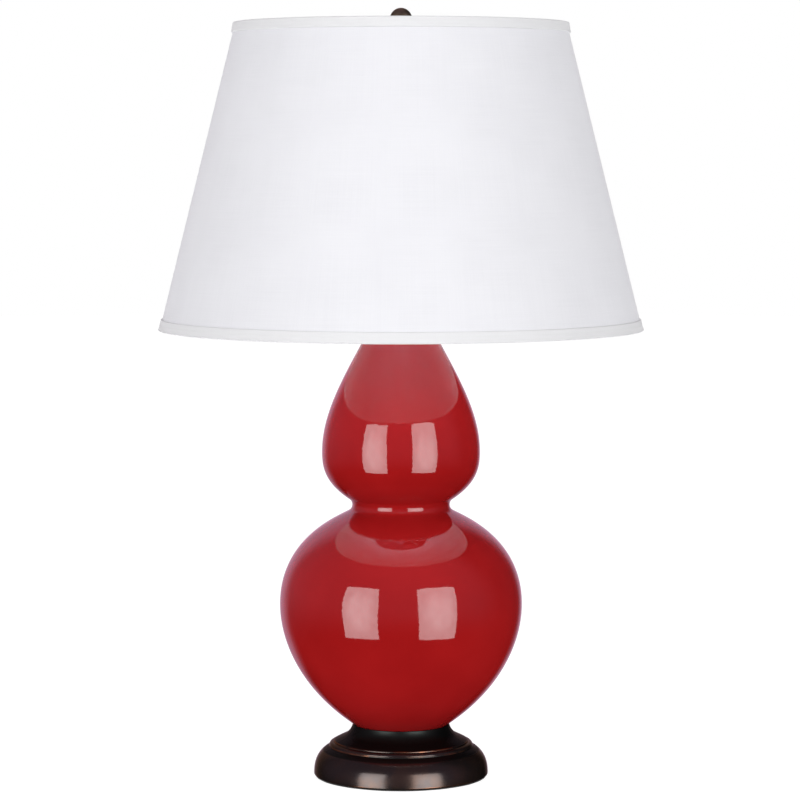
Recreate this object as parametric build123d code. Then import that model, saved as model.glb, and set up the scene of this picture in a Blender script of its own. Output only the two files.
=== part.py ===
from build123d import *
from math import cos, radians, sin, sqrt, tan
import os

# Double gourd table lamp with an empire shade.
# Millimetres, +Z up. The origin lies on the table, under the lamp's axis. The front is -Y.
# The cord inlet is at the back, the switch key at the front, and the harp bends in the XZ plane.

# ------------------------------------------------------------------ sizes: foot
felt_thick = 1.5
felt_margin = 1.3            # how far the felt stops short of the foot's edge
board_thick = 3.0            # fibre board that closes the foot
board_gap = 0.3
rebate_width = 2.6           # step in the foot's wall that the board seats against
foot_radius = 89.8
foot_edge_round = 1.2
foot_wall = 4.5
dome_top_radius = 74.4       # where the dome ends under the quarter round
dome_top_height = 29.1       # heights on the foot are measured from its underside
dome_top_lean = 28.0         # degrees, the dome's slope at its upper end
dome_top_pull = 13.0         # lengths of the dome's curve handles
dome_side_pull = 12.7
riser_height = 1.1           # the narrow upright edge under the quarter round
quarter_reach = 4.2          # the quarter round between the riser and the roll
quarter_rise = 3.4
quarter_bulge = 1.0
roll_step = 0.8              # how far the roll's edge stands in from the quarter round
roll_edge_height = 1.2
roll_bulge = 1.0
collar_foot_radius = 53.6    # where the roll meets the collar's hollow wall
collar_foot_height = 43.1
collar_hollow = 0.45
collar_radius = 49.8
collar_height = 52.1
seat_depth = 5.1             # how deep the ceramic's gasket sits in the collar
web_thick = 4.0              # the foot's floor under the ceramic
web_edge_in = 5.0            # the hollow's corner under the web, in from the collar's top

# ------------------------------------------------------------------ sizes: cord inlet
inlet_height = 9.5           # above the foot's underside
inlet_bore = 3.4             # radius of the hole for the lead
inlet_barrel = 5.0
inlet_flange = 7.2
inlet_flange_thick = 2.0
inlet_pocket = 2.4           # depth of the flat pocket that the flange sits in
inlet_lip = 0.6              # snap ridge behind the wall
inlet_ridge = 1.4
inlet_entry = 0.8            # bushing past the snap ridge, inside the foot
inlet_clearance = 0.1

# ------------------------------------------------------------------ sizes: rod and fixings
rod_radius = 5.1
rod_bore = 3.3
rod_clearance = 0.15
rod_tail = 5.0               # rod showing below the bottom nut
rod_below_hub = 1.0          # the rod ends this far below the hub's top
rod_chamfer = 0.6
nut_chamfer = 0.9
nut_flats = 15.9
nut_thick = 6.0
top_nut_thick = 4.0
lock_washer_radius = 8.4
lock_washer_thick = 1.6
lock_washer_split = 0.9
bottom_washer_radius = 16.0
bottom_washer_thick = 1.5

# ------------------------------------------------------------------ sizes: gourd, (radius, height) stations
ceramic_wall = 6.0
gasket_thick = 1.5
gasket_margin = 2.5
gasket_hole = 6.0            # wider than the rod's hole by this much
neck_gasket_margin = 0.6
neck_gasket_hole = 0.4       # wider than the mouth by this much
ceramic_gap = 0.15           # between the glazed foot and the metal collar
gourd_height = 420.0
heel_radius = 43.3
heel_lean = 57.2             # degrees from upright
lower_belly_radius = 124.5
lower_belly_height = 128.2   # heights on the gourd are measured from its heel
waist_radius = 50.0
waist_height = 230.8
waist_round = 7.3
waist_above = 56.0           # degrees of arc above and below the waist's middle
waist_below = 56.2
upper_belly_radius = 81.0
upper_belly_height = 284.8
neck_radius = 27.5
neck_lean = 28.3
neck_pull = 61.8             # lengths of the curve handles, from the neck down
upper_shoulder_pull = 42.4
upper_hip_pull = 16.1
waist_in_pull = 29.8
waist_out_pull = 10.1
lower_shoulder_pull = 69.4
lower_hip_pull = 38.7
heel_pull = 71.2
mouth_radius = 20.0
mouth_chamfer = 0.6
floor_hole_clearance = 1.5   # round the rod, in the ceramic's floor

# ------------------------------------------------------------------ sizes: cap and neck above the gourd
cap_overhang = 3.0
cap_edge = 2.5
cap_edge_round = 0.8
cap_brim = 3.0               # flat part of the brim
cap_height = 12.5
cap_crown_round = 1.5
cap_wall = 2.5
cap_crown_radius = 13.0
cap_spigot_depth = 5.0
cap_spigot_gap = 0.5
neck_height = 16.0
neck_end_radius = 11.0
neck_waist_radius = 7.4
neck_collar = 2.5

# ------------------------------------------------------------------ sizes: harp
saddle_thick = 2.0
saddle_width = 15.0
saddle_arm_width = 7.0
saddle_bend = 5.0            # outside radius of the bend
saddle_rise = 12.0           # from the saddle's underside to the ferrule's seat
saddle_shoulder = 2.0        # height of the round shoulder under each ferrule
harp_height = 254.0          # saddle's underside to the shade's seat
harp_wire_radius = 1.6
harp_foot_reach = 31.0       # half the distance between the harp's feet
harp_foot_straight = 24.0
harp_flare_reach = 49.0
harp_flare_height = 59.0     # above the feet
harp_foot_bend = 22.0
harp_flare_bend = 40.0
harp_top_reach = 58.5
harp_top_bend = 38.0
harp_plate_length = 16.0
harp_plate_width = 9.0
harp_plate_thick = 1.8
ferrule_length = 14.0
ferrule_wall = 1.6
sleeve_clearance = 0.1
peg_length = 7.0
collar_over_wire = 1.1       # how far the shade's seat stands above the harp's wire

# ------------------------------------------------------------------ sizes: stud and finial
stud_collar_radius = 7.5
stud_boss_radius = 5.4
stud_radius = 3.1
stud_length = 12.0
shank_radius = 2.6
rivet_radius = 4.2
rivet_thick = 1.2
swivel_clearance = 0.05
finial_height = 31.9
finial_ball = 11.3
finial_flange = 8.6
finial_flange_thick = 2.2
finial_neck = 4.9
finial_bead = 6.4
finial_wall_above = 1.5      # metal above the end of the stud

# ------------------------------------------------------------------ sizes: shade
shade_height = 311.9
shade_bottom_radius = 246.2  # outside of the fabric at the lower edge
shade_top_radius = 168.1     # outside of the fabric at the upper edge
fabric_thick = 0.8
liner_thick = 0.8
trim_thick = 1.6
trim_lining = 0.8
top_trim_width = 10.4
bottom_trim_width = 11.3
top_trim_flare = 1.1         # the folded tape stands out more over the top ring
trim_round = 1.1
trim_hem = 3.0               # how far the trim's inner leg reaches past the ring
ring_wire = 1.6
ring_clearance = 0.05
spider_wire = 1.5
spider_count = 3
spider_shelf = 8.0           # level run of each arm beside the top ring
spider_slope = 7.0
spider_bend = 4.0
shade_recess = 18.5          # from the shade's upper edge down to its seat
washer_radius = 14.0
washer_thick = 1.5

# ------------------------------------------------------------------ sizes: socket
hub_radius = 8.2
hub_height = 9.0
cup_wall = 0.9
cup_rim_height = 17.5        # top of the socket cap's straight rim, above the hub's top
cup_curve_height = 9.5       # where the straight rim begins, above the hub's top
shell_radius = 17.4
shell_wall = 0.6
shell_height = 50.0
shell_fit = 0.1
shell_seat = 0.8             # the shell starts this far up the cap's straight rim
shell_bead = 0.8
shell_bead_drop = 7.0        # the bead's middle, below the shell's top
shell_bead_half = 2.0
shell_lip = 1.4
shell_lip_round = 1.0
sleeve_wall = 0.7            # insulating card sleeve
sleeve_gap = 0.1
block_gap = 0.2
block_height = 21.0
block_lift = 1.0             # the block and sleeve start this far above the shell's lower edge
screw_shell_radius = 13.8
screw_shell_wall = 0.4
screw_shell_height = 25.0
contact_width = 5.0
contact_rise = 3.6
contact_reach = 7.0
contact_thick = 0.4
terminal_reach = 11.5
terminal_head = 3.0
terminal_head_thick = 1.8
terminal_shank = 1.5
terminal_shank_length = 3.0
terminal_height = 6.0        # above the block's underside
screw_slot = 0.7
set_screw_radius = 1.5
set_screw_head = 2.6
set_screw_head_thick = 2.0
set_screw_share = 0.45       # the screw's height on the hub

# ------------------------------------------------------------------ sizes: switch key
key_height = 11.5            # shaft above the block's underside
shaft_radius = 1.9
shaft_clearance = 0.08
shaft_root = 4.5             # inner end of the shaft, from the lamp's axis
shaft_reach = 34.0
key_slot_gap = 0.7
key_hub_radius = 4.2
key_hub_length = 7.0
key_stand_off = 6.0          # from the shell to the key
key_paddle_width = 17.0
key_paddle_thick = 4.2
key_paddle_length = 13.0

# ------------------------------------------------------------------ sizes: bulb
bulb_length = 110.0
bulb_radius = 30.0
bulb_cap_radius = 13.0
bulb_cap_wall = 0.6
bulb_cap_height = 20.0
bulb_cap_foot = 3.5          # slope at the lower end of the metal cap
bulb_insulator_height = 2.6
bulb_insulator_radius = 9.0
bulb_button_radius = 4.8
bulb_button_thick = 1.2
bulb_neck_radius = 12.2
bulb_neck_depth = 7.0        # glass inside the metal cap
bulb_glass = 0.9
bulb_tangent = 22.0          # degrees below the ball's middle where the neck curve meets it
bulb_neck_pull = 13.0        # lengths of the neck curve's handles
bulb_ball_pull = 17.0


# ------------------------------------------------------------------ heights, worked up from the table
foot_z = felt_thick
web_top_z = foot_z + collar_height - seat_depth
web_z = web_top_z - web_thick
heel_z = web_top_z + gasket_thick
mouth_z = heel_z + gourd_height
cap_z = mouth_z + gasket_thick
neck_z = cap_z + cap_height
saddle_z = neck_z + neck_height
top_nut_z = saddle_z + saddle_thick
hub_z = top_nut_z + top_nut_thick
hub_top_z = hub_z + hub_height
set_screw_z = hub_z + hub_height * set_screw_share
cup_straight_z = hub_top_z + cup_curve_height
cup_rim_z = hub_top_z + cup_rim_height
shell_z = cup_straight_z + shell_seat
shell_top_z = shell_z + shell_height
block_z = shell_z + block_lift
block_top_z = block_z + block_height
key_z = block_z + key_height
bulb_z = block_top_z + contact_rise
bulb_cap_z = bulb_z + bulb_button_thick + bulb_insulator_height
bulb_cap_top_z = bulb_cap_z + bulb_cap_height
bottom_washer_z = web_z - bottom_washer_thick
lock_washer_z = bottom_washer_z - lock_washer_thick
bottom_nut_z = lock_washer_z - nut_thick
rod_z = bottom_nut_z - rod_tail
rod_top_z = hub_top_z - rod_below_hub
ferrule_z = saddle_z + saddle_rise
harp_foot_z = ferrule_z + peg_length
seat_z = saddle_z + harp_height
harp_top_z = seat_z - collar_over_wire - harp_wire_radius
shade_top_z = seat_z + shade_recess
shade_z = shade_top_z - shade_height
finial_z = seat_z + washer_thick
stud_top_z = seat_z + stud_length

hole_radius = rod_radius + rod_clearance
foot_inside = foot_radius - foot_wall


# ------------------------------------------------------------------ shared forms
LOW = (Align.CENTER, Align.CENTER, Align.MIN)
FRONT = Rot(90, 0, 0)        # turns +Z into -Y
BACK = Rot(-90, 0, 0)        # turns +Z into +Y


def turned(*outline):
    """A solid of revolution about the lamp's axis, from closed (radius, height) curves."""
    return revolve(Plane.XZ * make_face(Curve() + list(outline)), Axis.Z)


def turned_through(*points):
    """A solid of revolution from straight runs through (radius, height) points."""
    return turned(Polyline(*points, close=True))


def disc(radius, bottom, thick, hole=0):
    """A flat disc or washer on the lamp's axis."""
    body = Pos(0, 0, bottom) * Cylinder(radius, thick, align=LOW)
    if hole:
        body -= Pos(0, 0, bottom) * Cylinder(hole, thick, align=LOW)
    return body


def chamfered(body, size, *heights):
    """Chamfer the circular edges of a turned body that lie at the given heights."""
    edges = body.edges().filter_by(GeomType.CIRCLE)
    chosen = [e for e in edges if any(abs(e.center().Z - z) < 1e-4 for z in heights)]
    return chamfer(ShapeList(chosen), size)


def hex_nut(bottom, thick):
    """A hexagonal nut on the rod, with its corners turned down on both faces."""
    prism = extrude(RegularPolygon(nut_flats / 2, 6, major_radius=False), thick)
    corner = nut_flats / 2 / cos(radians(30))
    rims = Cylinder(corner, thick, align=LOW).edges().filter_by(GeomType.CIRCLE)
    turned_down = chamfer(rims, nut_chamfer)
    return Pos(0, 0, bottom) * (prism & turned_down) - disc(hole_radius, bottom, thick)


# ------------------------------------------------------------------ foot
def make_felt():
    """The felt disc glued under the foot."""
    return disc(foot_radius - felt_margin, 0, felt_thick)


def make_board():
    """The fibre board that closes the foot, let into a rebate."""
    return disc(foot_inside - board_gap, foot_z, board_thick)


def foot_outline():
    """The foot's outside, from its lower edge up to the top of the collar."""
    lean = radians(dome_top_lean)
    base = (foot_radius - foot_edge_round, foot_z)
    side = (foot_radius, foot_z + foot_edge_round)
    dome = (dome_top_radius, foot_z + dome_top_height)
    riser = (dome[0], dome[1] + riser_height)
    quarter = (riser[0] - quarter_reach, riser[1] + quarter_rise)
    roll = (quarter[0] - roll_step, quarter[1])
    roll_edge = (roll[0], roll[1] + roll_edge_height)
    collar_foot = (collar_foot_radius, foot_z + collar_foot_height)
    collar = (collar_radius, foot_z + collar_height)
    return [
        RadiusArc(base, side, -foot_edge_round),
        Bezier(side, (foot_radius, side[1] + dome_side_pull),
               (dome[0] + dome_top_pull * cos(lean), dome[1] - dome_top_pull * sin(lean)), dome),
        Line(dome, riser),
        SagittaArc(riser, quarter, -quarter_bulge),
        Line(quarter, roll),
        Line(roll, roll_edge),
        SagittaArc(roll_edge, collar_foot, -roll_bulge),
        SagittaArc(collar_foot, collar, collar_hollow),
    ]


def make_foot():
    """The cast foot: dome, ledge, roll and cove outside, an even wall inside, a cup for the ceramic."""
    outside = foot_outline()
    heel_slope = tan(radians(heel_lean))
    cup = heel_radius + ceramic_gap / cos(radians(heel_lean))
    lip_z = foot_z + collar_height
    collar = (collar_radius, lip_z)
    cup_top = (cup + (lip_z - heel_z) * heel_slope, lip_z)
    rebate_z = foot_z + board_thick
    inner_dome = (dome_top_radius - foot_wall * 1.35, foot_z + dome_top_height - foot_wall * 0.55)
    under_roll = (dome_top_radius - quarter_reach - foot_wall * 1.5, foot_z + dome_top_height + riser_height)
    under_web = (collar_radius - web_edge_in, web_z)
    step = foot_inside - rebate_width
    inlet_top = foot_z + inlet_height + inlet_barrel + inlet_lip + 1
    inside = [
        Line(collar, cup_top),
        Line(cup_top, (cup, heel_z)),
        Line((cup, heel_z), (cup, web_top_z)),
        Line((cup, web_top_z), (hole_radius, web_top_z)),
        Line((hole_radius, web_top_z), (hole_radius, web_z)),
        Line((hole_radius, web_z), under_web),
        SagittaArc(under_web, under_roll, 0.8),
        Line(under_roll, inner_dome),
        Bezier(inner_dome, (inner_dome[0] + dome_top_pull * 0.5, inner_dome[1] - dome_top_pull * 0.25),
               (step, inlet_top + dome_side_pull * 0.25), (step, inlet_top)),
        Line((step, inlet_top), (step, rebate_z)),
        Line((step, rebate_z), (foot_inside, rebate_z)),
        Line((foot_inside, rebate_z), (foot_inside, foot_z)),
        Line((foot_inside, foot_z), (foot_radius - foot_edge_round, foot_z)),
    ]
    foot = turned(*outside, *inside)
    axis_z = foot_z + inlet_height
    at = Pos(0, foot_radius, axis_z) * BACK
    hole = at * Cylinder(inlet_barrel + inlet_clearance, foot_wall * 6)
    pocket = Cylinder(inlet_flange + 2 * inlet_clearance, foot_wall * 3, align=LOW)
    return foot - hole - at * Pos(0, 0, -inlet_pocket) * pocket


def make_bushing():
    """The bushing in the back of the foot, where the lead comes out."""
    floor = foot_radius - inlet_pocket
    wall = foot_inside - rebate_width
    ridge_y = sqrt(wall ** 2 - (inlet_barrel + inlet_lip) ** 2) - inlet_clearance
    length = floor - ridge_y + inlet_ridge + inlet_entry
    body = Pos(0, floor, 0) * BACK * Cylinder(inlet_flange, inlet_flange_thick, align=LOW)
    body = fillet(body.edges().sort_by(Axis.Y)[-1], 0.8)
    body += Pos(0, floor - length, 0) * BACK * Cylinder(inlet_barrel, length, align=LOW)
    ridge = BACK * Cylinder(inlet_barrel + inlet_lip, inlet_ridge, align=LOW)
    body += Pos(0, ridge_y - inlet_ridge, 0) * chamfer(ridge.edges().sort_by(Axis.Y)[0], 0.5)
    body -= Pos(0, floor - length, 0) * BACK * Cylinder(inlet_bore, length + inlet_flange_thick, align=LOW)
    return Pos(0, 0, foot_z + inlet_height) * body


# ------------------------------------------------------------------ rod and fixings
def make_rod():
    """The hollow threaded rod that holds the lamp together."""
    rod = disc(rod_radius, rod_z, rod_top_z - rod_z, rod_bore)
    outer = [e for e in rod.edges().filter_by(GeomType.CIRCLE) if e.radius > rod_bore + 0.5]
    return chamfer(ShapeList(outer), rod_chamfer)


def make_lock_washer():
    """A split spring washer."""
    ring = disc(lock_washer_radius, lock_washer_z, lock_washer_thick, hole_radius)
    cut = Rot(0, 0, 8) * Pos(lock_washer_radius, 0, lock_washer_z + lock_washer_thick / 2)
    split = Box(lock_washer_radius * 1.6, lock_washer_split, lock_washer_thick * 3)
    return ring - cut * Rot(30, 0, 0) * split


# ------------------------------------------------------------------ gourd
def gourd_curve(inset):
    """Half of the double gourd's outline, from neck to heel, drawn at a depth inside the glazed face."""
    neck, heel = radians(neck_lean), radians(heel_lean)
    above, below = radians(waist_above), radians(waist_below)
    top = Vector(neck_radius - inset * cos(neck), mouth_z - inset * sin(neck))
    upper = Vector(upper_belly_radius - inset, heel_z + upper_belly_height)
    lower = Vector(lower_belly_radius - inset, heel_z + lower_belly_height)
    end = Vector(heel_radius - inset * cos(heel), heel_z + inset * sin(heel))
    bend = waist_round + inset
    middle = Vector(waist_radius + waist_round, heel_z + waist_height)
    waist_in = middle + Vector(-cos(above), sin(above)) * bend
    waist_out = middle + Vector(-cos(below), -sin(below)) * bend
    small = 1 - inset / upper_belly_radius
    large = 1 - inset / lower_belly_radius
    return [
        Bezier(top, top + Vector(sin(neck), -cos(neck)) * neck_pull * small,
               upper + Vector(0, upper_shoulder_pull * small), upper),
        Bezier(upper, upper - Vector(0, upper_hip_pull * small),
               waist_in + Vector(sin(above), cos(above)) * waist_in_pull * small, waist_in),
        ThreePointArc(waist_in, middle - Vector(bend, 0), waist_out),
        Bezier(waist_out, waist_out + Vector(sin(below), -cos(below)) * waist_out_pull * large,
               lower + Vector(0, lower_shoulder_pull * large), lower),
        Bezier(lower, lower - Vector(0, lower_hip_pull * large),
               end + Vector(sin(heel), cos(heel)) * heel_pull * large, end),
    ]


def filled(curves):
    """The solid of revolution inside an outline that runs from the neck down to the heel."""
    top, end = curves[0] @ 0, curves[-1] @ 1
    return turned(*curves, Polyline(end, (0, end.Y), (0, top.Y), top))


def make_gourd():
    """The glazed ceramic body: one shell of even wall through both bellies and the waist."""
    outer, inner = gourd_curve(0), gourd_curve(ceramic_wall)
    body = filled(outer) - filled(inner)
    throat, floor = (inner[0] @ 0).Y, (inner[-1] @ 1).Y
    body -= disc(mouth_radius, throat - 1, mouth_z - throat + 1)
    body -= disc(hole_radius + floor_hole_clearance, heel_z, floor - heel_z)
    return chamfered(body, mouth_chamfer, mouth_z)


# ------------------------------------------------------------------ cap and neck above the gourd
def make_vase_cap():
    """The turned cap over the gourd's mouth, with a spigot that centres it."""
    rim = neck_radius + cap_overhang
    edge_z, top_z = cap_z + cap_edge, cap_z + cap_height
    low_z, shoulder_z, under_z = cap_z - cap_spigot_depth, top_z - cap_crown_round, top_z - cap_wall
    crown, inside = cap_crown_radius, cap_crown_radius - cap_wall
    spigot = mouth_radius - cap_spigot_gap
    bore = spigot - cap_wall
    brim = rim - cap_brim
    return turned(
        Line((rim, cap_z), (rim, edge_z - cap_edge_round)),
        RadiusArc((rim, edge_z - cap_edge_round), (rim - cap_edge_round, edge_z), -cap_edge_round),
        Line((rim - cap_edge_round, edge_z), (brim, edge_z)),
        Bezier((brim, edge_z), (brim - 6, edge_z + 0.5), (crown + 2, top_z - 6), (crown, shoulder_z)),
        RadiusArc((crown, shoulder_z), (crown - cap_crown_round, top_z), -cap_crown_round),
        Polyline((crown - cap_crown_round, top_z), (hole_radius, top_z), (hole_radius, under_z),
                 (inside, under_z)),
        Bezier((inside, under_z), (crown, top_z - 7), (bore - 1, cap_z + 3), (bore, cap_z)),
        Polyline((bore, cap_z), (bore, low_z), (spigot, low_z), (spigot, cap_z), (rim, cap_z)),
    )


def make_neck():
    """The turned spool between the cap and the harp's saddle."""
    low, high = neck_z, neck_z + neck_height
    hollow_low, hollow_high = low + neck_collar, high - neck_collar
    end, waist = neck_end_radius, neck_waist_radius
    return turned(
        Bezier((end, hollow_low), (waist, hollow_low + 1.5), (waist, hollow_high - 1.5), (end, hollow_high)),
        Polyline((end, hollow_high), (end, high), (hole_radius, high), (hole_radius, low), (end, low),
                 (end, hollow_low)),
    )


# ------------------------------------------------------------------ harp
def make_saddle():
    """The bent strip under the socket, with a shoulder and a peg for each foot of the harp."""
    out = harp_foot_reach + saddle_thick / 2
    arm_top = ferrule_z - saddle_shoulder
    band = Polyline((-out, arm_top), (-out, saddle_z), (out, saddle_z), (out, arm_top),
                    (out - saddle_thick, arm_top), (out - saddle_thick, top_nut_z),
                    (-out + saddle_thick, top_nut_z), (-out + saddle_thick, arm_top), close=True)
    profile = make_face(band)
    for height, bend in ((saddle_z, saddle_bend), (top_nut_z, saddle_bend - saddle_thick)):
        profile = fillet([v for v in profile.vertices() if abs(v.Y - height) < 0.01], bend)
    strip = extrude(Plane.XZ * profile, saddle_width, both=True)
    middle, arm, end = saddle_width / 2, saddle_arm_width / 2, out + 1
    taper = middle + (out - middle) * 0.66
    plan = Polyline((-end, -arm), (-taper, -arm), (-middle, -middle), (middle, -middle), (taper, -arm),
                    (end, -arm), (end, arm), (taper, arm), (middle, middle), (-middle, middle),
                    (-taper, arm), (-end, arm), close=True)
    strip &= Pos(0, 0, saddle_z) * extrude(make_face(plan), saddle_rise)
    strip -= disc(hole_radius, saddle_z, saddle_thick)
    for side in (-1, 1):
        foot = Pos(side * harp_foot_reach, 0, 0)
        strip += foot * disc(harp_wire_radius + ferrule_wall * 0.6, arm_top, saddle_shoulder)
        strip += foot * disc(harp_wire_radius, ferrule_z, peg_length)
    return strip


def make_harp():
    """The wire bow that carries the shade, flattened and pierced at the top for the stud."""
    half = [
        (harp_foot_reach, harp_foot_z),
        (harp_foot_reach, harp_foot_z + harp_foot_straight),
        (harp_flare_reach, harp_foot_z + harp_flare_height),
        (harp_top_reach, harp_top_z),
    ]
    points = [Vector(-x, 0, z) for x, z in half] + [Vector(x, 0, z) for x, z in reversed(half)]
    bends = [harp_foot_bend, harp_flare_bend, harp_top_bend, harp_top_bend, harp_flare_bend, harp_foot_bend]
    path = FilletPolyline(*points, radius=bends)
    wire = sweep(Plane(path @ 0, z_dir=path % 0) * Circle(harp_wire_radius), path=path)
    plate_z = harp_top_z - harp_plate_thick / 2
    gap = Pos(0, 0, harp_top_z) * Box(harp_plate_length, harp_plate_width, harp_wire_radius * 4)
    plate = Pos(0, 0, plate_z) * Box(harp_plate_length, harp_plate_width, harp_plate_thick, align=LOW)
    plate = fillet(plate.edges().filter_by(Axis.Z), harp_plate_width * 0.3)
    plate += Pos(0, 0, harp_top_z) * Box(harp_plate_length, harp_plate_width * 0.4, harp_plate_thick)
    return (wire - gap) + plate - disc(shank_radius + swivel_clearance, plate_z, harp_plate_thick)


def make_ferrule(side):
    """The sleeve that locks one foot of the harp to the saddle."""
    bore = harp_wire_radius + sleeve_clearance
    body = chamfered(disc(bore + ferrule_wall, ferrule_z, ferrule_length, bore), 0.5,
                     ferrule_z, ferrule_z + ferrule_length)
    return Pos(side * harp_foot_reach, 0, 0) * body


def make_stud():
    """The threaded stud that turns in the harp's top plate: rivet head, shank, collar, boss and thread."""
    plate_top = harp_top_z + harp_plate_thick / 2 + swivel_clearance
    plate_low = harp_top_z - harp_plate_thick / 2 - swivel_clearance
    boss_top = seat_z + washer_thick - swivel_clearance
    points = (
        (0, plate_low - rivet_thick), (rivet_radius - 0.5, plate_low - rivet_thick),
        (rivet_radius, plate_low - rivet_thick + 0.5), (rivet_radius, plate_low), (shank_radius, plate_low),
        (shank_radius, plate_top), (stud_collar_radius, plate_top), (stud_collar_radius, seat_z),
        (stud_boss_radius, seat_z), (stud_boss_radius, boss_top), (stud_radius, boss_top),
        (stud_radius, stud_top_z - 0.7), (stud_radius - 0.7, stud_top_z), (0, stud_top_z),
    )
    return turned_through(*points)


# ------------------------------------------------------------------ shade
flare = (shade_bottom_radius - shade_top_radius) / shade_height
square_off = sqrt(1 + flare ** 2)


def shade_radius(height, depth=0):
    """Radius of the shade's wall at a height, at a depth measured square to the fabric."""
    return shade_bottom_radius - flare * (height - shade_z) - depth * square_off


def cone_shell(depth, thick, low, high):
    """A conical layer of the shade."""
    return turned_through(
        (shade_radius(low, depth), low), (shade_radius(high, depth), high),
        (shade_radius(high, depth + thick), high), (shade_radius(low, depth + thick), low),
    )


skin = fabric_thick + liner_thick
top_ring_z = shade_top_z - trim_lining - ring_clearance - ring_wire
bottom_ring_z = shade_z + trim_lining + ring_clearance + ring_wire
top_ring_radius = shade_radius(top_ring_z, skin + ring_clearance + ring_wire)
bottom_ring_radius = shade_radius(bottom_ring_z, skin + ring_clearance + ring_wire)


def ring(radius, height):
    """A wire ring of the shade's frame."""
    return Pos(0, 0, height) * Torus(radius, ring_wire)


def trim(edge_z, inward, width, ring_radius, ring_z, flare_out):
    """Folded tape over one edge of the shade. inward is -1 at the upper edge and +1 at the lower one."""
    end_z = edge_z + inward * width
    cover_z = edge_z + inward * trim_lining
    leg_z = ring_z + inward * (ring_wire + trim_hem)
    leg_in = ring_radius - ring_wire - ring_clearance - trim_lining
    outer_edge = shade_radius(edge_z) + trim_thick + flare_out
    band = make_face(Polyline(
        (shade_radius(end_z), end_z), (shade_radius(end_z) + trim_thick, end_z), (outer_edge, edge_z),
        (leg_in, edge_z), (leg_in, leg_z), (leg_in + trim_lining, leg_z), (leg_in + trim_lining, cover_z),
        (shade_radius(cover_z), cover_z), close=True))
    corners = [v for v in band.vertices() if abs(v.Y - edge_z) < 0.01]
    band = fillet(corners, min(trim_round, trim_lining * 0.95))
    return revolve(Plane.XZ * band, Axis.Z)


def spider_path():
    """Centre line of one arm: level beside the ring, down to the seat, level to the washer."""
    level = seat_z + washer_thick / 2
    return FilletPolyline(
        (top_ring_radius, 0, top_ring_z), (top_ring_radius - ring_wire - spider_shelf, 0, top_ring_z),
        (top_ring_radius - ring_wire - spider_shelf - spider_slope, 0, level), (washer_radius / 2, 0, level),
        radius=spider_bend)


def around_spider(body):
    """Copies of a body, one at each arm of the spider."""
    return [Rot(0, 0, 90 + 360 / spider_count * i) * body for i in range(spider_count)]


def make_spider_arms():
    """The three arms, cut to sit on the ring and against the washer."""
    path = spider_path()
    arm = sweep(Plane(path @ 0, z_dir=path % 0) * Circle(spider_wire), path=path)
    arm -= ring(top_ring_radius, top_ring_z)
    arm -= disc(top_ring_radius * 2, top_ring_z - ring_wire * 2, ring_wire * 4, top_ring_radius)
    arm -= disc(washer_radius, seat_z - 5, 10)
    return Compound(children=around_spider(arm.solids().sort_by(SortBy.VOLUME)[-1]))


def make_top_trim():
    """The upper trim, slit where the spider's arms pass through its inner leg."""
    body = trim(shade_top_z, -1, top_trim_width, top_ring_radius, top_ring_z, top_trim_flare)
    slot = 2 * (spider_wire + 0.3)
    drop = ring_wire + trim_hem + 2
    at = Pos(top_ring_radius - ring_wire - 2, 0, top_ring_z + spider_wire + 0.05)
    notch = at * Box(4, slot, drop + spider_wire, align=(Align.CENTER, Align.CENTER, Align.MAX))
    for cut in around_spider(notch):
        body -= cut
    return body


def make_finial():
    """The ball finial: flange, cove, bead, neck and ball, bored for the stud."""
    base = finial_z
    ball_z = base + finial_height - finial_ball
    neck_top = ball_z - sqrt(finial_ball ** 2 - finial_neck ** 2)
    flange_z = base + finial_flange_thick
    bead_low = flange_z + (neck_top - flange_z) * 0.45
    bead_high = flange_z + (neck_top - flange_z) * 0.85
    bore = stud_radius + sleeve_clearance
    bore_z = stud_top_z + finial_wall_above
    return turned(
        Line((bore, base), (finial_flange, base)),
        Line((finial_flange, base), (finial_flange, flange_z - 0.8)),
        RadiusArc((finial_flange, flange_z - 0.8), (finial_flange - 0.8, flange_z), -0.8),
        Bezier((finial_flange - 0.8, flange_z), (finial_neck + 0.4, flange_z + 0.2),
               (finial_neck, bead_low - 1), (finial_neck, bead_low)),
        ThreePointArc((finial_neck, bead_low), (finial_bead, (bead_low + bead_high) / 2),
                      (finial_neck, bead_high)),
        Line((finial_neck, bead_high), (finial_neck, neck_top)),
        ThreePointArc((finial_neck, neck_top), (finial_ball, ball_z), (0, ball_z + finial_ball)),
        Line((0, ball_z + finial_ball), (0, bore_z)),
        Line((0, bore_z), (bore, bore_z - 1)),
        Line((bore, bore_z - 1), (bore, base)),
    )


# ------------------------------------------------------------------ socket
cup_radius = shell_radius + shell_fit + cup_wall
sleeve_radius = shell_radius - shell_wall - sleeve_gap
block_radius = sleeve_radius - sleeve_wall - block_gap


def make_socket_cap():
    """The spun cup under the socket, with a threaded hub and a hole for its set screw."""
    inside = cup_radius - cup_wall
    low, high = hub_top_z - 1, hub_top_z
    body = turned(
        Bezier((hub_radius, low), (hub_radius + 1, high + 2), (cup_radius, high + 2.5),
               (cup_radius, cup_straight_z)),
        Polyline((cup_radius, cup_straight_z), (cup_radius, cup_rim_z), (inside, cup_rim_z),
                 (inside, cup_straight_z)),
        Bezier((inside, cup_straight_z), (inside, high + 3.6), (hub_radius + 1, high + 2.6),
               (hub_radius - 0.4, high)),
        Polyline((hub_radius - 0.4, high), (hole_radius, high), (hole_radius, hub_z), (hub_radius, hub_z),
                 (hub_radius, low)),
    )
    return body - Pos(0, 0, set_screw_z) * BACK * Cylinder(set_screw_radius + 0.05, cup_radius, align=LOW)


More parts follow.
